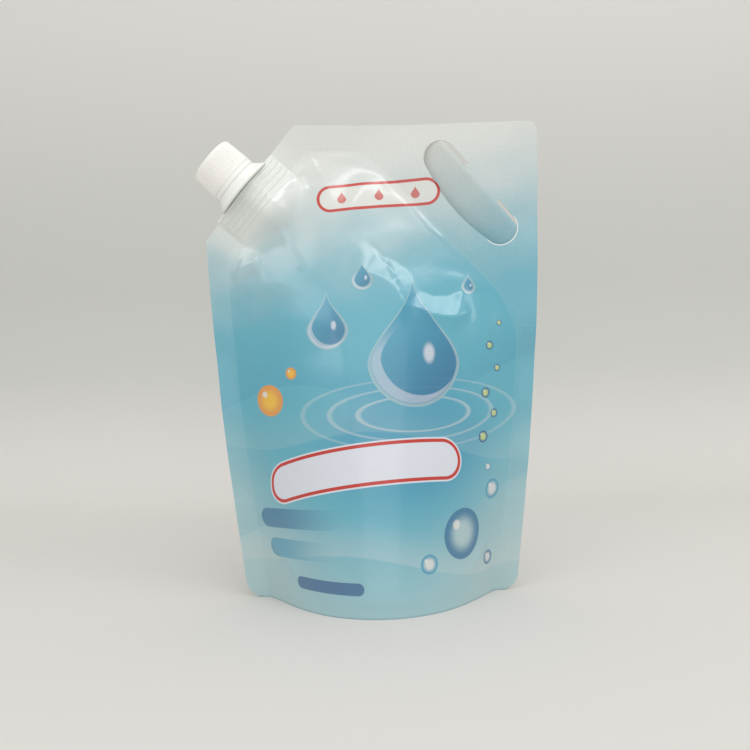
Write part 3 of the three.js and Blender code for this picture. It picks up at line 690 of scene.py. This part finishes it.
def spout_shell():
    angles = boat_angles()
    rings = [ring(BORE_RADIUS, -BOAT_DEPTH, angles)]
    edge = 0.25
    for i in range(BOAT_RIBS):
        low = -BOAT_DEPTH + i * RIB_PITCH
        profile = ((low, edge), (low + edge, 0.0), (low + BOAT_RIB - edge, 0.0),
                   (low + BOAT_RIB, edge), (low + BOAT_RIB + 0.1, BOAT_GROOVE),
                   (low + RIB_PITCH - 0.1, BOAT_GROOVE))
        for level, inset in profile[:6 if i < BOAT_RIBS - 1 else 4]:
            outline = boat_radius(angles, BOAT_RADIUS - inset, BOAT_LENGTH / 2 - inset)
            rings.append(ring(outline, level, angles))
    c, collar = NECK_CHAMFER, CAP_RADIUS - 0.2
    steps = [(FLANGE_RADIUS - c, 0.0), (FLANGE_RADIUS - c * 0.3, c * 0.3), (FLANGE_RADIUS, c),
             (FLANGE_RADIUS, FLANGE_RIM - c), (FLANGE_RADIUS - c * 0.3, FLANGE_RIM - c * 0.3),
             (FLANGE_RADIUS - c, FLANGE_RIM)]
    for t in np.linspace(0.15, 1, 8):
        dip = 0.25 * math.sin(math.pi * t)
        steps.append((FLANGE_RADIUS - c + (collar - FLANGE_RADIUS + c) * t - dip,
                      FLANGE_RIM + (FLANGE_HEIGHT - FLANGE_RIM) * t))
    bead = CAP_BASE
    steps += [(collar - 0.15, FLANGE_HEIGHT), (NECK_RADIUS, FLANGE_HEIGHT),
              (NECK_RADIUS, bead), (NECK_RADIUS + BEAD_DEPTH - 0.1, bead),
              (NECK_RADIUS + BEAD_DEPTH, bead + 0.15),
              (NECK_RADIUS + BEAD_DEPTH, bead + BEAD_HEIGHT / 2),
              (NECK_RADIUS + BEAD_DEPTH / 2, bead + BEAD_HEIGHT * 0.8),
              (NECK_RADIUS, bead + BEAD_HEIGHT)]
    steps += [(NECK_RADIUS, z) for z in np.linspace(bead + BEAD_HEIGHT, NECK_TOP - c, 8)[1:]]
    steps += [(NECK_RADIUS - c * 0.3, NECK_TOP - c * 0.3), (NECK_RADIUS - c, NECK_TOP),
              (BORE_RADIUS + 0.3, NECK_TOP), (BORE_RADIUS, NECK_TOP - 0.3)]
    steps += [(BORE_RADIUS, z) for z in np.linspace(NECK_TOP - 0.3, -BOAT_DEPTH, 14)[1:-1]]
    rings += [ring(radius, level, angles) for radius, level in steps]
    return loft(rings, wrap=True)


def thread(radius, height, start, turns, inward=False, steps_per_turn=72):
    """A right-handed helical ridge with tapering ends, rooted a little in its wall."""
    count = int(turns * steps_per_turn)
    sections = []
    for i in range(count + 1):
        share = i / count
        angle = 2 * math.pi * turns * share
        ends = float(smooth_step(0, 0.08, share) * smooth_step(0, 0.08, 1 - share))
        level = start + THREAD_PITCH * turns * share
        sign = -1 if inward else 1
        tall, wide = height * (0.15 + 0.85 * ends), THREAD_WIDTH * (0.4 + 0.6 * ends)
        section = [(-0.25, -wide / 2), (tall, -wide * 0.16), (tall, wide * 0.16),
                   (-0.25, wide / 2)]
        points = [((radius + sign * r) * math.cos(angle), (radius + sign * r) * math.sin(angle),
                   level + dz) for r, dz in section]
        sections.append(np.array(points if not inward else points[::-1]))
    return loft(sections)


def spout_object(material):
    parts = [spout_shell(), thread(NECK_RADIUS, THREAD_HEIGHT, THREAD_START, THREAD_TURNS)]
    points, faces = merge_parts(parts)
    return new_object("spout_fitment", place_on_spout(points), faces, material, sharp=32)


def band_object(material):
    angles = np.linspace(0, 2 * np.pi, 192, endpoint=False)
    lip, inner = NECK_RADIUS + TURN_GAP, CAP_RADIUS - BAND_WALL
    foot, top = FLANGE_HEIGHT + LOOK_GAP, BAND_BASE + BAND_HEIGHT
    e = 0.12
    profile = [(inner, foot + e), (inner + e, foot), (CAP_RADIUS - e, foot),
               (CAP_RADIUS, foot + e), (CAP_RADIUS, top - e), (CAP_RADIUS - e, top),
               (lip + e, top), (lip, top - e), (lip, top - BAND_LIP + e),
               (lip + e, top - BAND_LIP), (inner, top - BAND_LIP)]
    parts = [loft([ring(radius, level, angles) for radius, level in profile], wrap=True)]
    for i in range(BRIDGES):
        middle = 2 * math.pi * (i + 0.5) / BRIDGES
        half = 0.55 / CAP_RADIUS
        corners = [(CAP_RADIUS - 0.75, -half), (CAP_RADIUS - 0.15, -half),
                   (CAP_RADIUS - 0.15, half), (CAP_RADIUS - 0.75, half)]
        rings = [np.array([(r * math.cos(middle + a), r * math.sin(middle + a), level)
                           for r, a in corners]) for level in (top - 0.3, top + LOOK_GAP * 0.8)]
        parts.append(loft(rings))
    points, faces = merge_parts(parts)
    return new_object("tamper_ring", place_on_spout(points), faces, material, sharp=32)


def cap_object(material):
    per_knurl = 4
    count = KNURLS * per_knurl
    angles = np.linspace(0, 2 * np.pi, count, endpoint=False)
    groove = (0.5 - 0.5 * np.cos(angles * KNURLS)) ** 1.5
    roof = CAP_RADIUS - CAP_TAPER
    plug = BORE_RADIUS - TURN_GAP
    rim, foot = 0.7, BAND_BASE + BAND_HEIGHT + LOOK_GAP
    outer = [(CAP_INNER + 0.2, foot, 0), (CAP_RADIUS - 0.12, foot, 0),
             (CAP_RADIUS, foot + 0.12, 0), (CAP_RADIUS, CAP_BASE + rim, 0)]
    skirt_top = CAP_TOP - CAP_ROUND
    for t in np.linspace(0, 1, 12):
        level = CAP_BASE + rim + 0.15 + (skirt_top - CAP_BASE - rim - 0.15) * t
        radius = CAP_RADIUS - CAP_TAPER * (level - CAP_BASE) / (skirt_top - CAP_BASE)
        outer.append((radius, level, 1.0 if t > 0 else 0.85))
    for i, angle in enumerate(np.linspace(0, math.pi / 2, 10)[1:]):
        outer.append((roof - CAP_ROUND + CAP_ROUND * math.cos(angle),
                      skirt_top + CAP_ROUND * math.sin(angle), max(0, 0.75 - 0.25 * i)))
    outer += [(9.8, CAP_TOP, 0), (9.4, CAP_TOP - 0.12, 0), (9.1, CAP_TOP - 0.35, 0),
              (6.0, CAP_TOP - 0.38, 0), (1.6, CAP_TOP - 0.4, 0), (1.3, CAP_TOP - 0.2, 0),
              (0.5, CAP_TOP - 0.15, 0)]
    inner = [(CAP_INNER, foot + 0.2, 0), (CAP_INNER, CAP_CEILING - CAP_ROUND, 0),
             (CAP_INNER - CAP_GAP, CAP_CEILING, 0), (plug, CAP_CEILING, 0),
             (plug, CAP_CEILING - PLUG_DEPTH + 0.4, 0), (plug - 0.3, CAP_CEILING - PLUG_DEPTH, 0),
             (plug - PLUG_WALL, CAP_CEILING - PLUG_DEPTH, 0), (plug - PLUG_WALL, CAP_CEILING, 0),
             (3.0, CAP_CEILING, 0), (0.5, CAP_CEILING, 0)]
    profile = inner[::-1] + outer
    rings = [ring(radius - KNURL_DEPTH * depth * groove, level, angles)
             for radius, level, depth in profile]
    inner_thread = thread(CAP_INNER, 0.5, THREAD_START + THREAD_PITCH / 2, 1.8, inward=True)
    points, faces = merge_parts([loft(rings), inner_thread])
    return new_object("screw_cap", place_on_spout(points), faces, material, sharp=40)


# Material nodes: a small calculator over sockets

class Nodes:
    def __init__(self, name):
        self.material = bpy.data.materials.new(name)
        self.material.use_nodes = True
        self.tree = self.material.node_tree
        self.shader = self.tree.nodes["Principled BSDF"]

    def feed(self, node, inputs):
        """Links the inputs that are given a socket and sets the others, but for None."""
        for name, value in inputs.items():
            if isinstance(value, bpy.types.NodeSocket):
                self.tree.links.new(value, node.inputs[name])
            elif value is not None:
                node.inputs[name].default_value = value

    def new(self, kind, inputs={}, **settings):
        node = self.tree.nodes.new(kind)
        for key, value in settings.items():
            setattr(node, key, value)
        self.feed(node, inputs)
        return node

    def math(self, operation, *values, clamp=False):
        inputs = dict(enumerate(values))
        return self.new("ShaderNodeMath", inputs, operation=operation, use_clamp=clamp).outputs[0]

    def minus(self, a, b):
        return self.math("SUBTRACT", a, b)

    def chain(self, operation, total, *values):
        for value in values:
            total = self.math(operation, total, value)
        return total

    def add(self, *values):
        return self.chain("ADD", *values)

    def times(self, *values):
        return self.chain("MULTIPLY", *values)

    def ramp(self, value, low, high):
        """0 at low, 1 at high, smooth between."""
        rising = float(low < high)
        inputs = {"Value": value, "From Min": min(low, high), "From Max": max(low, high),
                  "To Min": 1 - rising, "To Max": rising}
        return self.new("ShaderNodeMapRange", inputs, interpolation_type="SMOOTHSTEP").outputs[0]

    def length(self, x, y):
        return self.math("SQRT", self.add(self.times(x, x), self.times(y, y)))

    def centimetres(self, u, z):
        """Place on the film for the noises, ten millimetres to the unit."""
        inputs = {"X": self.times(u, 0.1), "Y": self.times(z, 0.1)}
        return self.new("ShaderNodeCombineXYZ", inputs).outputs[0]

    def turned(self, u, z, centre, angle):
        """Place along and across a direction on the film, from a centre."""
        du, dz = self.minus(u, centre[0]), self.minus(z, centre[1])
        c, s = math.cos(angle), math.sin(angle)
        return (self.add(self.times(du, c), self.times(dz, s)),
                self.add(self.times(dz, c), self.times(du, -s)))

    def distance(self, u, z, centre, stretch=1.0):
        du = self.minus(u, centre[0])
        return self.length(du, self.times(self.minus(z, centre[1]), stretch))

    def capsule(self, u, z, start, end):
        """Distance to the line from start to end, and the share of the way along it."""
        du, dz = end[0] - start[0], end[1] - start[1]
        size = du * du + dz * dz
        a, b = self.minus(u, start[0]), self.minus(z, start[1])
        t = self.add(self.times(a, du / size), self.times(b, dz / size))
        t = self.math("ADD", t, 0.0, clamp=True)
        x = self.minus(a, self.times(t, du))
        y = self.minus(b, self.times(t, dz))
        return self.length(x, y), t

    def mix(self, mask, low, high):
        inputs = {"Factor": mask, "A": low, "B": high}
        return self.new("ShaderNodeMix", inputs, data_type="RGBA").outputs["Result"]

    def paint(self, colour, tone, *shares):
        """The colour with a tone over it, where all the shares say so."""
        return self.mix(self.times(*shares), colour, tone)

    def noise(self, vector, scale, detail=2.0, roughness=0.5):
        inputs = {"Vector": vector, "Scale": scale, "Detail": detail, "Roughness": roughness}
        return self.new("ShaderNodeTexNoise", inputs).outputs["Fac"]

    def bump(self, height, strength, distance, normal=None):
        inputs = {"Height": height, "Strength": strength, "Distance": distance, "Normal": normal}
        return self.new("ShaderNodeBump", inputs).outputs["Normal"]


def srgb(r, g, b):
    def linear(c):
        c /= 255
        return c / 12.92 if c <= 0.04045 else ((c + 0.055) / 1.055) ** 2.4
    return (linear(r), linear(g), linear(b), 1.0)


MILK = srgb(213, 215, 210)
CLEAR = srgb(224, 228, 223)
PALE = srgb(174, 199, 200)
AQUA = srgb(94, 169, 187)
DEEP = srgb(70, 149, 177)
SEA = srgb(48, 112, 150)
NAVY = srgb(34, 84, 134)
RED = srgb(190, 48, 36)
LILAC = srgb(212, 216, 224)
ORANGE = srgb(222, 146, 48)
AMBER = srgb(230, 184, 66)
LEAF = srgb(192, 210, 136)
# Painted light in these colours: the cut white is a painted highlight on the slot's cut end, and
# the foot dark is painted shade along the film's foot.
# The rib white is a painted highlight on the boat's rib crests.
RIB_PAINTED_HIGHLIGHT, CUT_PAINTED_HIGHLIGHT, FOOT_PAINTED_SHADE = srgb(238, 239, 235), srgb(240, 242, 240), srgb(118, 146, 152)

# The generic print, in millimetres on the flat film
WAVES = (
    # height, slope, swing, reach, tone, share
    (122, 0.10, 8, 12, DEEP, 0.30), (92, -0.06, 7, 10, PALE, 0.16),
    (58, 0.12, 8, 9, AQUA, 0.25), (30, -0.05, 6, 8, MILK, 0.20))
RIPPLE_CENTRE, RIPPLE_STRETCH, RIPPLES = (20, 98), 3.4, ((62, 0.22), (47, 0.30), (32, 0.38))
DROPS, DROP_TALL = ((20, 126, 25), (-25, 143, 11.5), (-6, 168, 6.0), (52, 164, 4.5)), 1.75
BEADS = (
    # across, up, size, body, rim
    (46, 36, 13, PALE, SEA), (68, 56, 5.5, MILK, DEEP), (24, 24, 5, MILK, DEEP),
    (68, 20, 4, MILK, SEA), (64, 68, 2.6, MILK, DEEP),
    (-60, 106, 8.5, AMBER, ORANGE), (-46, 120, 3.4, AMBER, ORANGE),
    (60, 84, 3.4, LEAF, NAVY), (67, 96, 2.6, LEAF, NAVY), (61, 107, 3.0, LEAF, NAVY),
    (68, 120, 2.2, LEAF, NAVY), (63, 132, 2.6, LEAF, NAVY), (69, 144, 1.8, LEAF, NAVY))
RIBBON, TAG = ((-54, 70), (34, 77)), ((-22, 212), (30, 216))
BARS = (
    # start, end, half width, tone
    ((-70, 44), (-14, 47), 5.2, SEA), ((-66, 29), (-22, 31), 5.0, DEEP),
    ((-46, 14), (-12, 14), 3.2, NAVY))
SEAL_SOFT, WAFFLE = 0.4, 4.8


def flat_coordinates(n):
    """Millimetres across and up the flat web, from its UV map."""
    uv = n.new("ShaderNodeUVMap", uv_map="flat").outputs[0]
    across, up, _ = n.new("ShaderNodeSeparateXYZ", {0: uv}).outputs
    return n.times(n.minus(across, 0.5), PANEL_WIDTH), n.times(up, PANEL_HEIGHT)


def ground_print(n, u, z):
    """The plain colour run: milky top, aqua middle, pale foot, with soft wave bands."""
    cloud = n.minus(n.noise(n.centimetres(u, z), 0.42, 2.0), 0.5)
    lean = n.add(z, n.times(u, -0.19), n.times(cloud, 26.0))
    colour = n.mix(n.ramp(lean, 244, 148), MILK, AQUA)
    middle = n.ramp(n.distance(u, z, (16, 82), 1.25), 62, 18)
    colour = n.paint(colour, DEEP, middle, 0.95)
    low = n.add(z, n.times(u, u, -0.0069))
    colour = n.paint(colour, PALE, n.ramp(low, 62, -30), 0.9)
    for centre, slope, height, reach, tone, share in WAVES:
        wave = n.times(n.math("SINE", n.add(n.times(u, 0.042), centre * 0.7)), height)
        off = n.minus(z, n.add(wave, n.times(u, slope), centre))
        band = n.times(n.ramp(off, -reach, -reach + 1.2), n.ramp(off, reach * 1.6, -reach))
        colour = n.paint(colour, tone, band, share)
    return colour


def drop_shape(n, u, z, centre, size):
    """Distance-like value of a falling drop: below 1 inside."""
    du = n.minus(u, centre[0])
    dz = n.minus(z, centre[1])
    taper = n.minus(1.0, n.times(n.ramp(dz, -size * 0.2, size * DROP_TALL), 0.97))
    x = n.math("DIVIDE", du, n.times(taper, size))
    low = n.math("DIVIDE", n.math("MINIMUM", dz, 0.0), size)
    high = n.math("DIVIDE", n.math("MAXIMUM", dz, 0.0), size * DROP_TALL)
    return n.length(x, n.add(low, high))


def drops_print(n, u, z, colour):
    """Falling drops over flat ripples: a shaded body, a light edge and a gleam each."""
    for reach, share in RIPPLES:
        away = n.distance(u, z, RIPPLE_CENTRE, RIPPLE_STRETCH)
        ripple = n.times(n.ramp(away, reach, reach - 1.2), n.ramp(away, reach - 4.5, reach - 2.2))
        colour = n.paint(colour, MILK, ripple, share)
    for x, y, size in DROPS:
        drop = drop_shape(n, u, z, (x, y), size)
        across = n.add(n.times(n.minus(u, x), 0.6 / size),
                       n.times(n.minus(z, y), -0.5 / size))
        shade = n.mix(n.ramp(across, -0.7, 0.8), DEEP, SEA)
        colour = n.paint(colour, shade, n.ramp(drop, 1.0, 1.0 - 0.7 / size), 0.9)
        line = n.times(n.ramp(drop, 1.0, 1 - 0.5 / size),
                       n.ramp(drop, 1 - 2.4 / size, 1 - 1.4 / size))
        colour = n.paint(colour, PALE, line, 0.6)
        hollow = drop_shape(n, u, z, (x + size * 0.14, y + size * 0.1), size * 0.84)
        crescent = n.times(n.ramp(hollow, 1.0, 1.04), n.ramp(drop, 0.93, 0.9),
                           n.ramp(n.minus(z, y), size * 0.8, 0.0))
        colour = n.paint(colour, LILAC, crescent, 0.45)
        spark = n.distance(u, z, (x + size * 0.3, y + size * 0.1), 0.6)
        colour = n.paint(colour, LILAC, n.ramp(spark, size * 0.16, size * 0.07), 0.75)
    return colour


def beads_print(n, u, z, colour):
    """Round beads: a rim, a body tone and a small gleam each."""
    for x, y, size, tone, rim in BEADS:
        d = n.distance(u, z, (x, y))
        colour = n.paint(colour, rim, n.ramp(d, size, size - 0.5), 0.9)
        colour = n.paint(colour, tone, n.ramp(d, size * 0.86, size * 0.3), 0.9)
        g = n.distance(u, z, (x - size * 0.35, y + size * 0.38))
        colour = n.paint(colour, MILK, n.ramp(g, size * 0.24, size * 0.12), 0.9)
    return colour


def labels_print(n, u, z, colour):
    """Bare plates: a white ribbon edged in red, a short one above, and blue bars."""
    bow = n.times(u, u, -0.0022)
    ribbon, _ = n.capsule(u, n.minus(z, bow), *RIBBON)
    tag, _ = n.capsule(u, z, *TAG)
    for plate, reach, tone in ((ribbon, 11.2, LILAC), (ribbon, 10.4, RED), (ribbon, 8.7, LILAC),
                               (tag, 7.6, RED), (tag, 6.0, MILK)):
        colour = n.mix(n.ramp(plate, reach, reach - 0.3), colour, tone)
    for x in (-16, 4, 24):
        mark = drop_shape(n, u, z, (x, 213 + x * 0.077), 2.6)
        colour = n.paint(colour, RED, n.ramp(mark, 1.0, 0.9), 0.85)
    for start, end, reach, tone in BARS:
        bar, t = n.capsule(u, z, start, end)
        fade = n.ramp(t, 1.0, 0.1) if reach > 4 else 1.0
        colour = n.paint(colour, tone, n.ramp(bar, reach, reach - 0.4), fade, 0.8)
    return colour


def sealed_share(n, u, z):
    """1 on the heat seals: both sides, the top, the slanted handle field and the cut."""
    _, slant = n.turned(u, z, (HANDLE_SEAL_START, BODY_TOP), -HANDLE_SEAL_ANGLE)
    _, cut = n.turned(u, z, (-HALF_WIDTH, CUT_FOOT), CUT_ANGLE)
    share = 0.0
    for value, line in ((n.math("ABSOLUTE", u), BODY_HALF), (z, BODY_TOP), (slant, 0.0),
                        (cut, -CUT_SEAL)):
        share = n.math("MAXIMUM", share, n.ramp(value, line - SEAL_SOFT, line + SEAL_SOFT))
    return share


def film_finish(n, u, z, colour, rough=0.3):
    """Satin laminate: fine crinkle, faint haze in the roughness and the seals' waffle."""
    flat = n.centimetres(u, z)
    crinkle = n.noise(flat, 1.3, 3.0, 0.55)
    grain = n.noise(flat, 26.0, 2.0, 0.6)
    in_seal = sealed_share(n, u, z)
    weave = n.times(n.math("SINE", n.times(n.add(u, z), WAFFLE)),
                    n.math("SINE", n.times(n.minus(u, z), WAFFLE)))
    low = n.bump(crinkle, 0.16, 0.0012)
    waffle = n.bump(n.times(weave, in_seal), 0.5, 0.00010, low)
    final = n.bump(grain, 0.08, 0.00004, waffle)
    haze = n.times(n.minus(crinkle, 0.5), 0.05)
    dots = n.times(n.ramp(weave, 0.1, 0.7), 0.07)
    line = n.times(n.ramp(in_seal, 0.1, 0.4), n.ramp(in_seal, 0.95, 0.6), 0.11)
    tone = n.mix(n.add(n.times(in_seal, n.add(dots, 0.02)), line), colour, MILK)
    n.feed(n.shader, {"Normal": final, "Base Color": tone, "Specular IOR Level": 0.5,
                      "Roughness": n.add(n.times(in_seal, 0.07), haze, rough),
                      "Coat Weight": 0.6, "Coat Roughness": 0.12})


def clear_corner(n, u, z, colour):
    """Unprinted film over the boat: the milky plastic shows through, and the weld ribs get a
    painted highlight along their crests.
    """
    along, out = n.turned(u, z, (SEAT_X - 0.6, SEAT_Z), SPOUT_ANGLE)
    reach = n.math("ABSOLUTE", along)
    near = n.times(n.ramp(out, -33, -14), n.ramp(reach, 40, 20))
    colour = n.paint(colour, CLEAR, near, 0.85)
    # Painted highlight: pale lines on the rib crests, for the light they catch.
    phase = n.times(n.add(out, BOAT_DEPTH - BOAT_RIB / 2), 2 * math.pi / RIB_PITCH)
    rib = n.times(n.ramp(n.math("COSINE", phase), 0.45, 1.0),
                  n.ramp(out, -BOAT_DEPTH - 0.6, -BOAT_DEPTH + 0.4),
                  n.ramp(reach, BOAT_LENGTH / 2, BOAT_LENGTH / 2 - 3))
    return n.paint(colour, RIB_PAINTED_HIGHLIGHT, rib, 0.5)


def painted_edge_light_and_shade(n, u, z, colour):
    """Painted light and shade: a white painted highlight along the cut end of the handle slot, and
    painted shade along the standing foot where the film meets the floor.
    """
    along, up = n.turned(u, z, HANDLE_CENTRE, -HANDLE_TILT)
    past = n.minus(along, HANDLE_SPAN / 2)
    away = n.length(past, up)
    line = n.times(n.ramp(away, HANDLE_RADIUS - 0.2, HANDLE_RADIUS + 0.1),
                   n.ramp(away, HANDLE_RADIUS + 0.8, HANDLE_RADIUS + 0.4), n.ramp(past, -1.0, 2.0))
    # Painted highlight: the light caught by the cut end of the slot.
    colour = n.paint(colour, CUT_PAINTED_HIGHLIGHT, line, 0.7)
    # Painted shade: a dark band along the film's foot, the contact shade where it stands on the
    # floor.
    return n.paint(colour, FOOT_PAINTED_SHADE, n.ramp(z, 1.1, 0.3), 0.5)


def front_material():
    n = Nodes("film_front")
    u, z = flat_coordinates(n)
    colour = drops_print(n, u, z, ground_print(n, u, z))
    colour = labels_print(n, u, z, colour)
    colour = beads_print(n, u, z, colour)
    colour = painted_edge_light_and_shade(n, u, z, clear_corner(n, u, z, colour))
    film_finish(n, u, z, colour)
    return n.material


def back_material():
    n = Nodes("film_back")
    u, z = flat_coordinates(n)
    colour = ground_print(n, n.times(u, -1.0), z)
    plate = n.times(n.ramp(n.math("ABSOLUTE", u), 56.5, 56.0), n.ramp(z, 67.5, 68),
                    n.ramp(z, 148.5, 148))
    colour = n.paint(colour, MILK, plate, 0.75)
    colour = painted_edge_light_and_shade(n, u, z, clear_corner(n, u, z, colour))
    film_finish(n, u, z, colour)
    return n.material


def gusset_material():
    n = Nodes("film_gusset")
    u, z = flat_coordinates(n)
    colour = n.mix(n.noise(None, 30.0), srgb(186, 212, 214), srgb(198, 219, 220))
    film_finish(n, u, n.times(z, 0.3), colour, 0.4)
    return n.material


def plastic_material(name, colour, dark, rough, milky):
    """Moulded polyethylene: slight cloudiness, a fine moulded skin and soft scatter."""
    n = Nodes(name)
    place = n.new("ShaderNodeTexCoord").outputs["Object"]
    cloud = n.noise(place, 90.0, 2.0)
    skin = n.noise(place, 2600.0, 3.0, 0.6)
    n.feed(n.shader, {"Base Color": n.mix(cloud, colour, dark),
                      "Normal": n.bump(skin, 0.12, 0.00003),
                      "Roughness": n.add(n.times(skin, 0.08), rough - 0.04),
                      "Subsurface Weight": milky, "Subsurface Radius": (1.0, 0.95, 0.85),
                      "Subsurface Scale": 0.0015})
    return n.material


# Studio

def backdrop():
    """A pale sweep: floor, a wide curve and a wall behind."""
    n = Nodes("paper")
    place = n.new("ShaderNodeTexCoord").outputs["Object"]
    cloud = n.noise(place, 3.0, 2.0)
    _, _, height = n.new("ShaderNodeSeparateXYZ", {0: place}).outputs
    level = n.add(height, n.times(cloud, 0.02))
    # Painted light: one paper, coloured darker low on the wall, lighter towards the wall's top and
    # lighter still on the floor, for how the room's light falls on it.
    wall = n.mix(n.ramp(level, 0.26, 0.62), srgb(203, 203, 199), srgb(217, 216, 212))
    colour = n.mix(n.ramp(level, 0.012, 0.15), srgb(222, 219, 215), wall)
    n.feed(n.shader, {"Base Color": colour, "Roughness": n.add(n.times(cloud, 0.1), 0.75),
                      "Specular IOR Level": 0.2})
    radius, far, height = 220.0, 480.0, 900.0
    profile = [(-1400.0, 0.0), (-300.0, 0.0), (0.0, 0.0), (far - radius, 0.0)]
    for t in np.linspace(0, math.pi / 2, 24)[1:]:
        profile.append((far - radius + radius * math.sin(t), radius - radius * math.cos(t)))
    profile += [(far, height / 2), (far, height)]
    columns = np.linspace(-1400, 1400, 15)
    points = np.array([(x, y, z) for y, z in profile for x in columns])
    faces = grid_quads(np.arange(len(points)).reshape(len(profile), -1)).tolist()
    new_object("paper_sweep", points, faces, n.material)


LIGHT_AIM = Vector((0, 0, 0.15))
LIGHTS = (
    # name, place, width, height, power, colour
    ("ceiling", (0, -0.2, 1.3), 1.6, 1.6, 4.5, (1.0, 0.995, 0.98)),
    ("fill", (0, -1.5, 0.6), 1.2, 1.2, 3.2, (1, 1, 1)),
    ("lamp", (0.52, -0.86, 1.14), 1.25, 0.13, 3.6, (1, 1, 1)),
    ("window_left", (-0.76, -0.97, 0.72), 0.55, 0.4, 1.6, (0.97, 0.99, 1.0)),
    ("window_right", (1.2, -0.49, 0.72), 0.4, 0.4, 1.2, (1, 1, 1)),
)


def area_light(name, place, width, height, power, colour):
    data = bpy.data.lights.new(name, "AREA")
    data.shape = "RECTANGLE"
    data.size, data.size_y = width, height
    data.energy = power
    data.color = colour
    light = bpy.data.objects.new(name, data)
    light.location = place
    light.rotation_euler = (LIGHT_AIM - Vector(place)).to_track_quat("-Z", "Y").to_euler()
    bpy.context.scene.collection.objects.link(light)


def studio():
    world = bpy.data.worlds.new("room")
    bpy.context.scene.world = world
    world.use_nodes = True
    ground = world.node_tree.nodes["Background"]
    ground.inputs["Color"].default_value = (1.0, 0.995, 0.985, 1)
    ground.inputs["Strength"].default_value = 0.60
    for light in LIGHTS:
        area_light(*light)
    bpy.context.scene.view_settings.view_transform = "Standard"


# Camera fitted to the photo: focal length and frame in pixels, turns in radians, eye in metres
FOCAL, FRAME_WIDTH = 771.938, 750
ROLL, PITCH, YAW = 0.029, 0.008, 0.002
EYE = (SHIFT[0] * MM - 0.001627, -0.416438, 0.121226)


def camera():
    data = bpy.data.cameras.new("photo_view")
    data.sensor_width = 36.0
    data.lens = FOCAL / FRAME_WIDTH * data.sensor_width
    data.clip_start, data.clip_end = 0.01, 20
    c, s = math.cos(ROLL), math.sin(ROLL)
    cp, sp = math.cos(PITCH), math.sin(PITCH)
    forward = Vector((YAW, cp, -sp)).normalized()
    right = Vector((c, -s * sp, -s * cp)).normalized()
    up = right.cross(forward).normalized()
    right = forward.cross(up).normalized()
    view = Matrix((right, up, -forward)).transposed().to_4x4()
    view.translation = Vector(EYE)
    eye = bpy.data.objects.new("photo_view", data)
    eye.matrix_world = view
    bpy.context.scene.collection.objects.link(eye)
    bpy.context.scene.camera = eye


def main():
    camera()
    studio()
    backdrop()
    flat, faces, on_flap = triangulate_web()
    front = web_object("film_front", -1, flat, faces, on_flap, front_material())
    back = web_object("film_back", 1, flat, faces, on_flap, back_material())
    web = gusset_object(gusset_material())
    spout = spout_object(plastic_material("milky_plastic", srgb(244, 246, 242),
                                          srgb(240, 242, 238), 0.36, 0.5))
    band = band_object(plastic_material("band_white", srgb(248, 248, 244),
                                        srgb(246, 246, 241), 0.42, 0.25))
    cap = cap_object(plastic_material("cap_white", srgb(247, 245, 240),
                                      srgb(243, 241, 236), 0.40, 0.08))
    for obj, body, node, slot in (
            (front, "pouch", "front_panel", "panel_film"),
            (back, "pouch", "back_panel", "panel_film"),
            (web, "pouch", "gusset", "gusset_film"), (spout, "pouch", "spout", "spout_plastic"),
            (band, "tamper_band", "tamper_band", "band_plastic"),
            (cap, "cap", "cap", "cap_plastic")):
        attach(obj, body)
        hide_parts(node)


main()
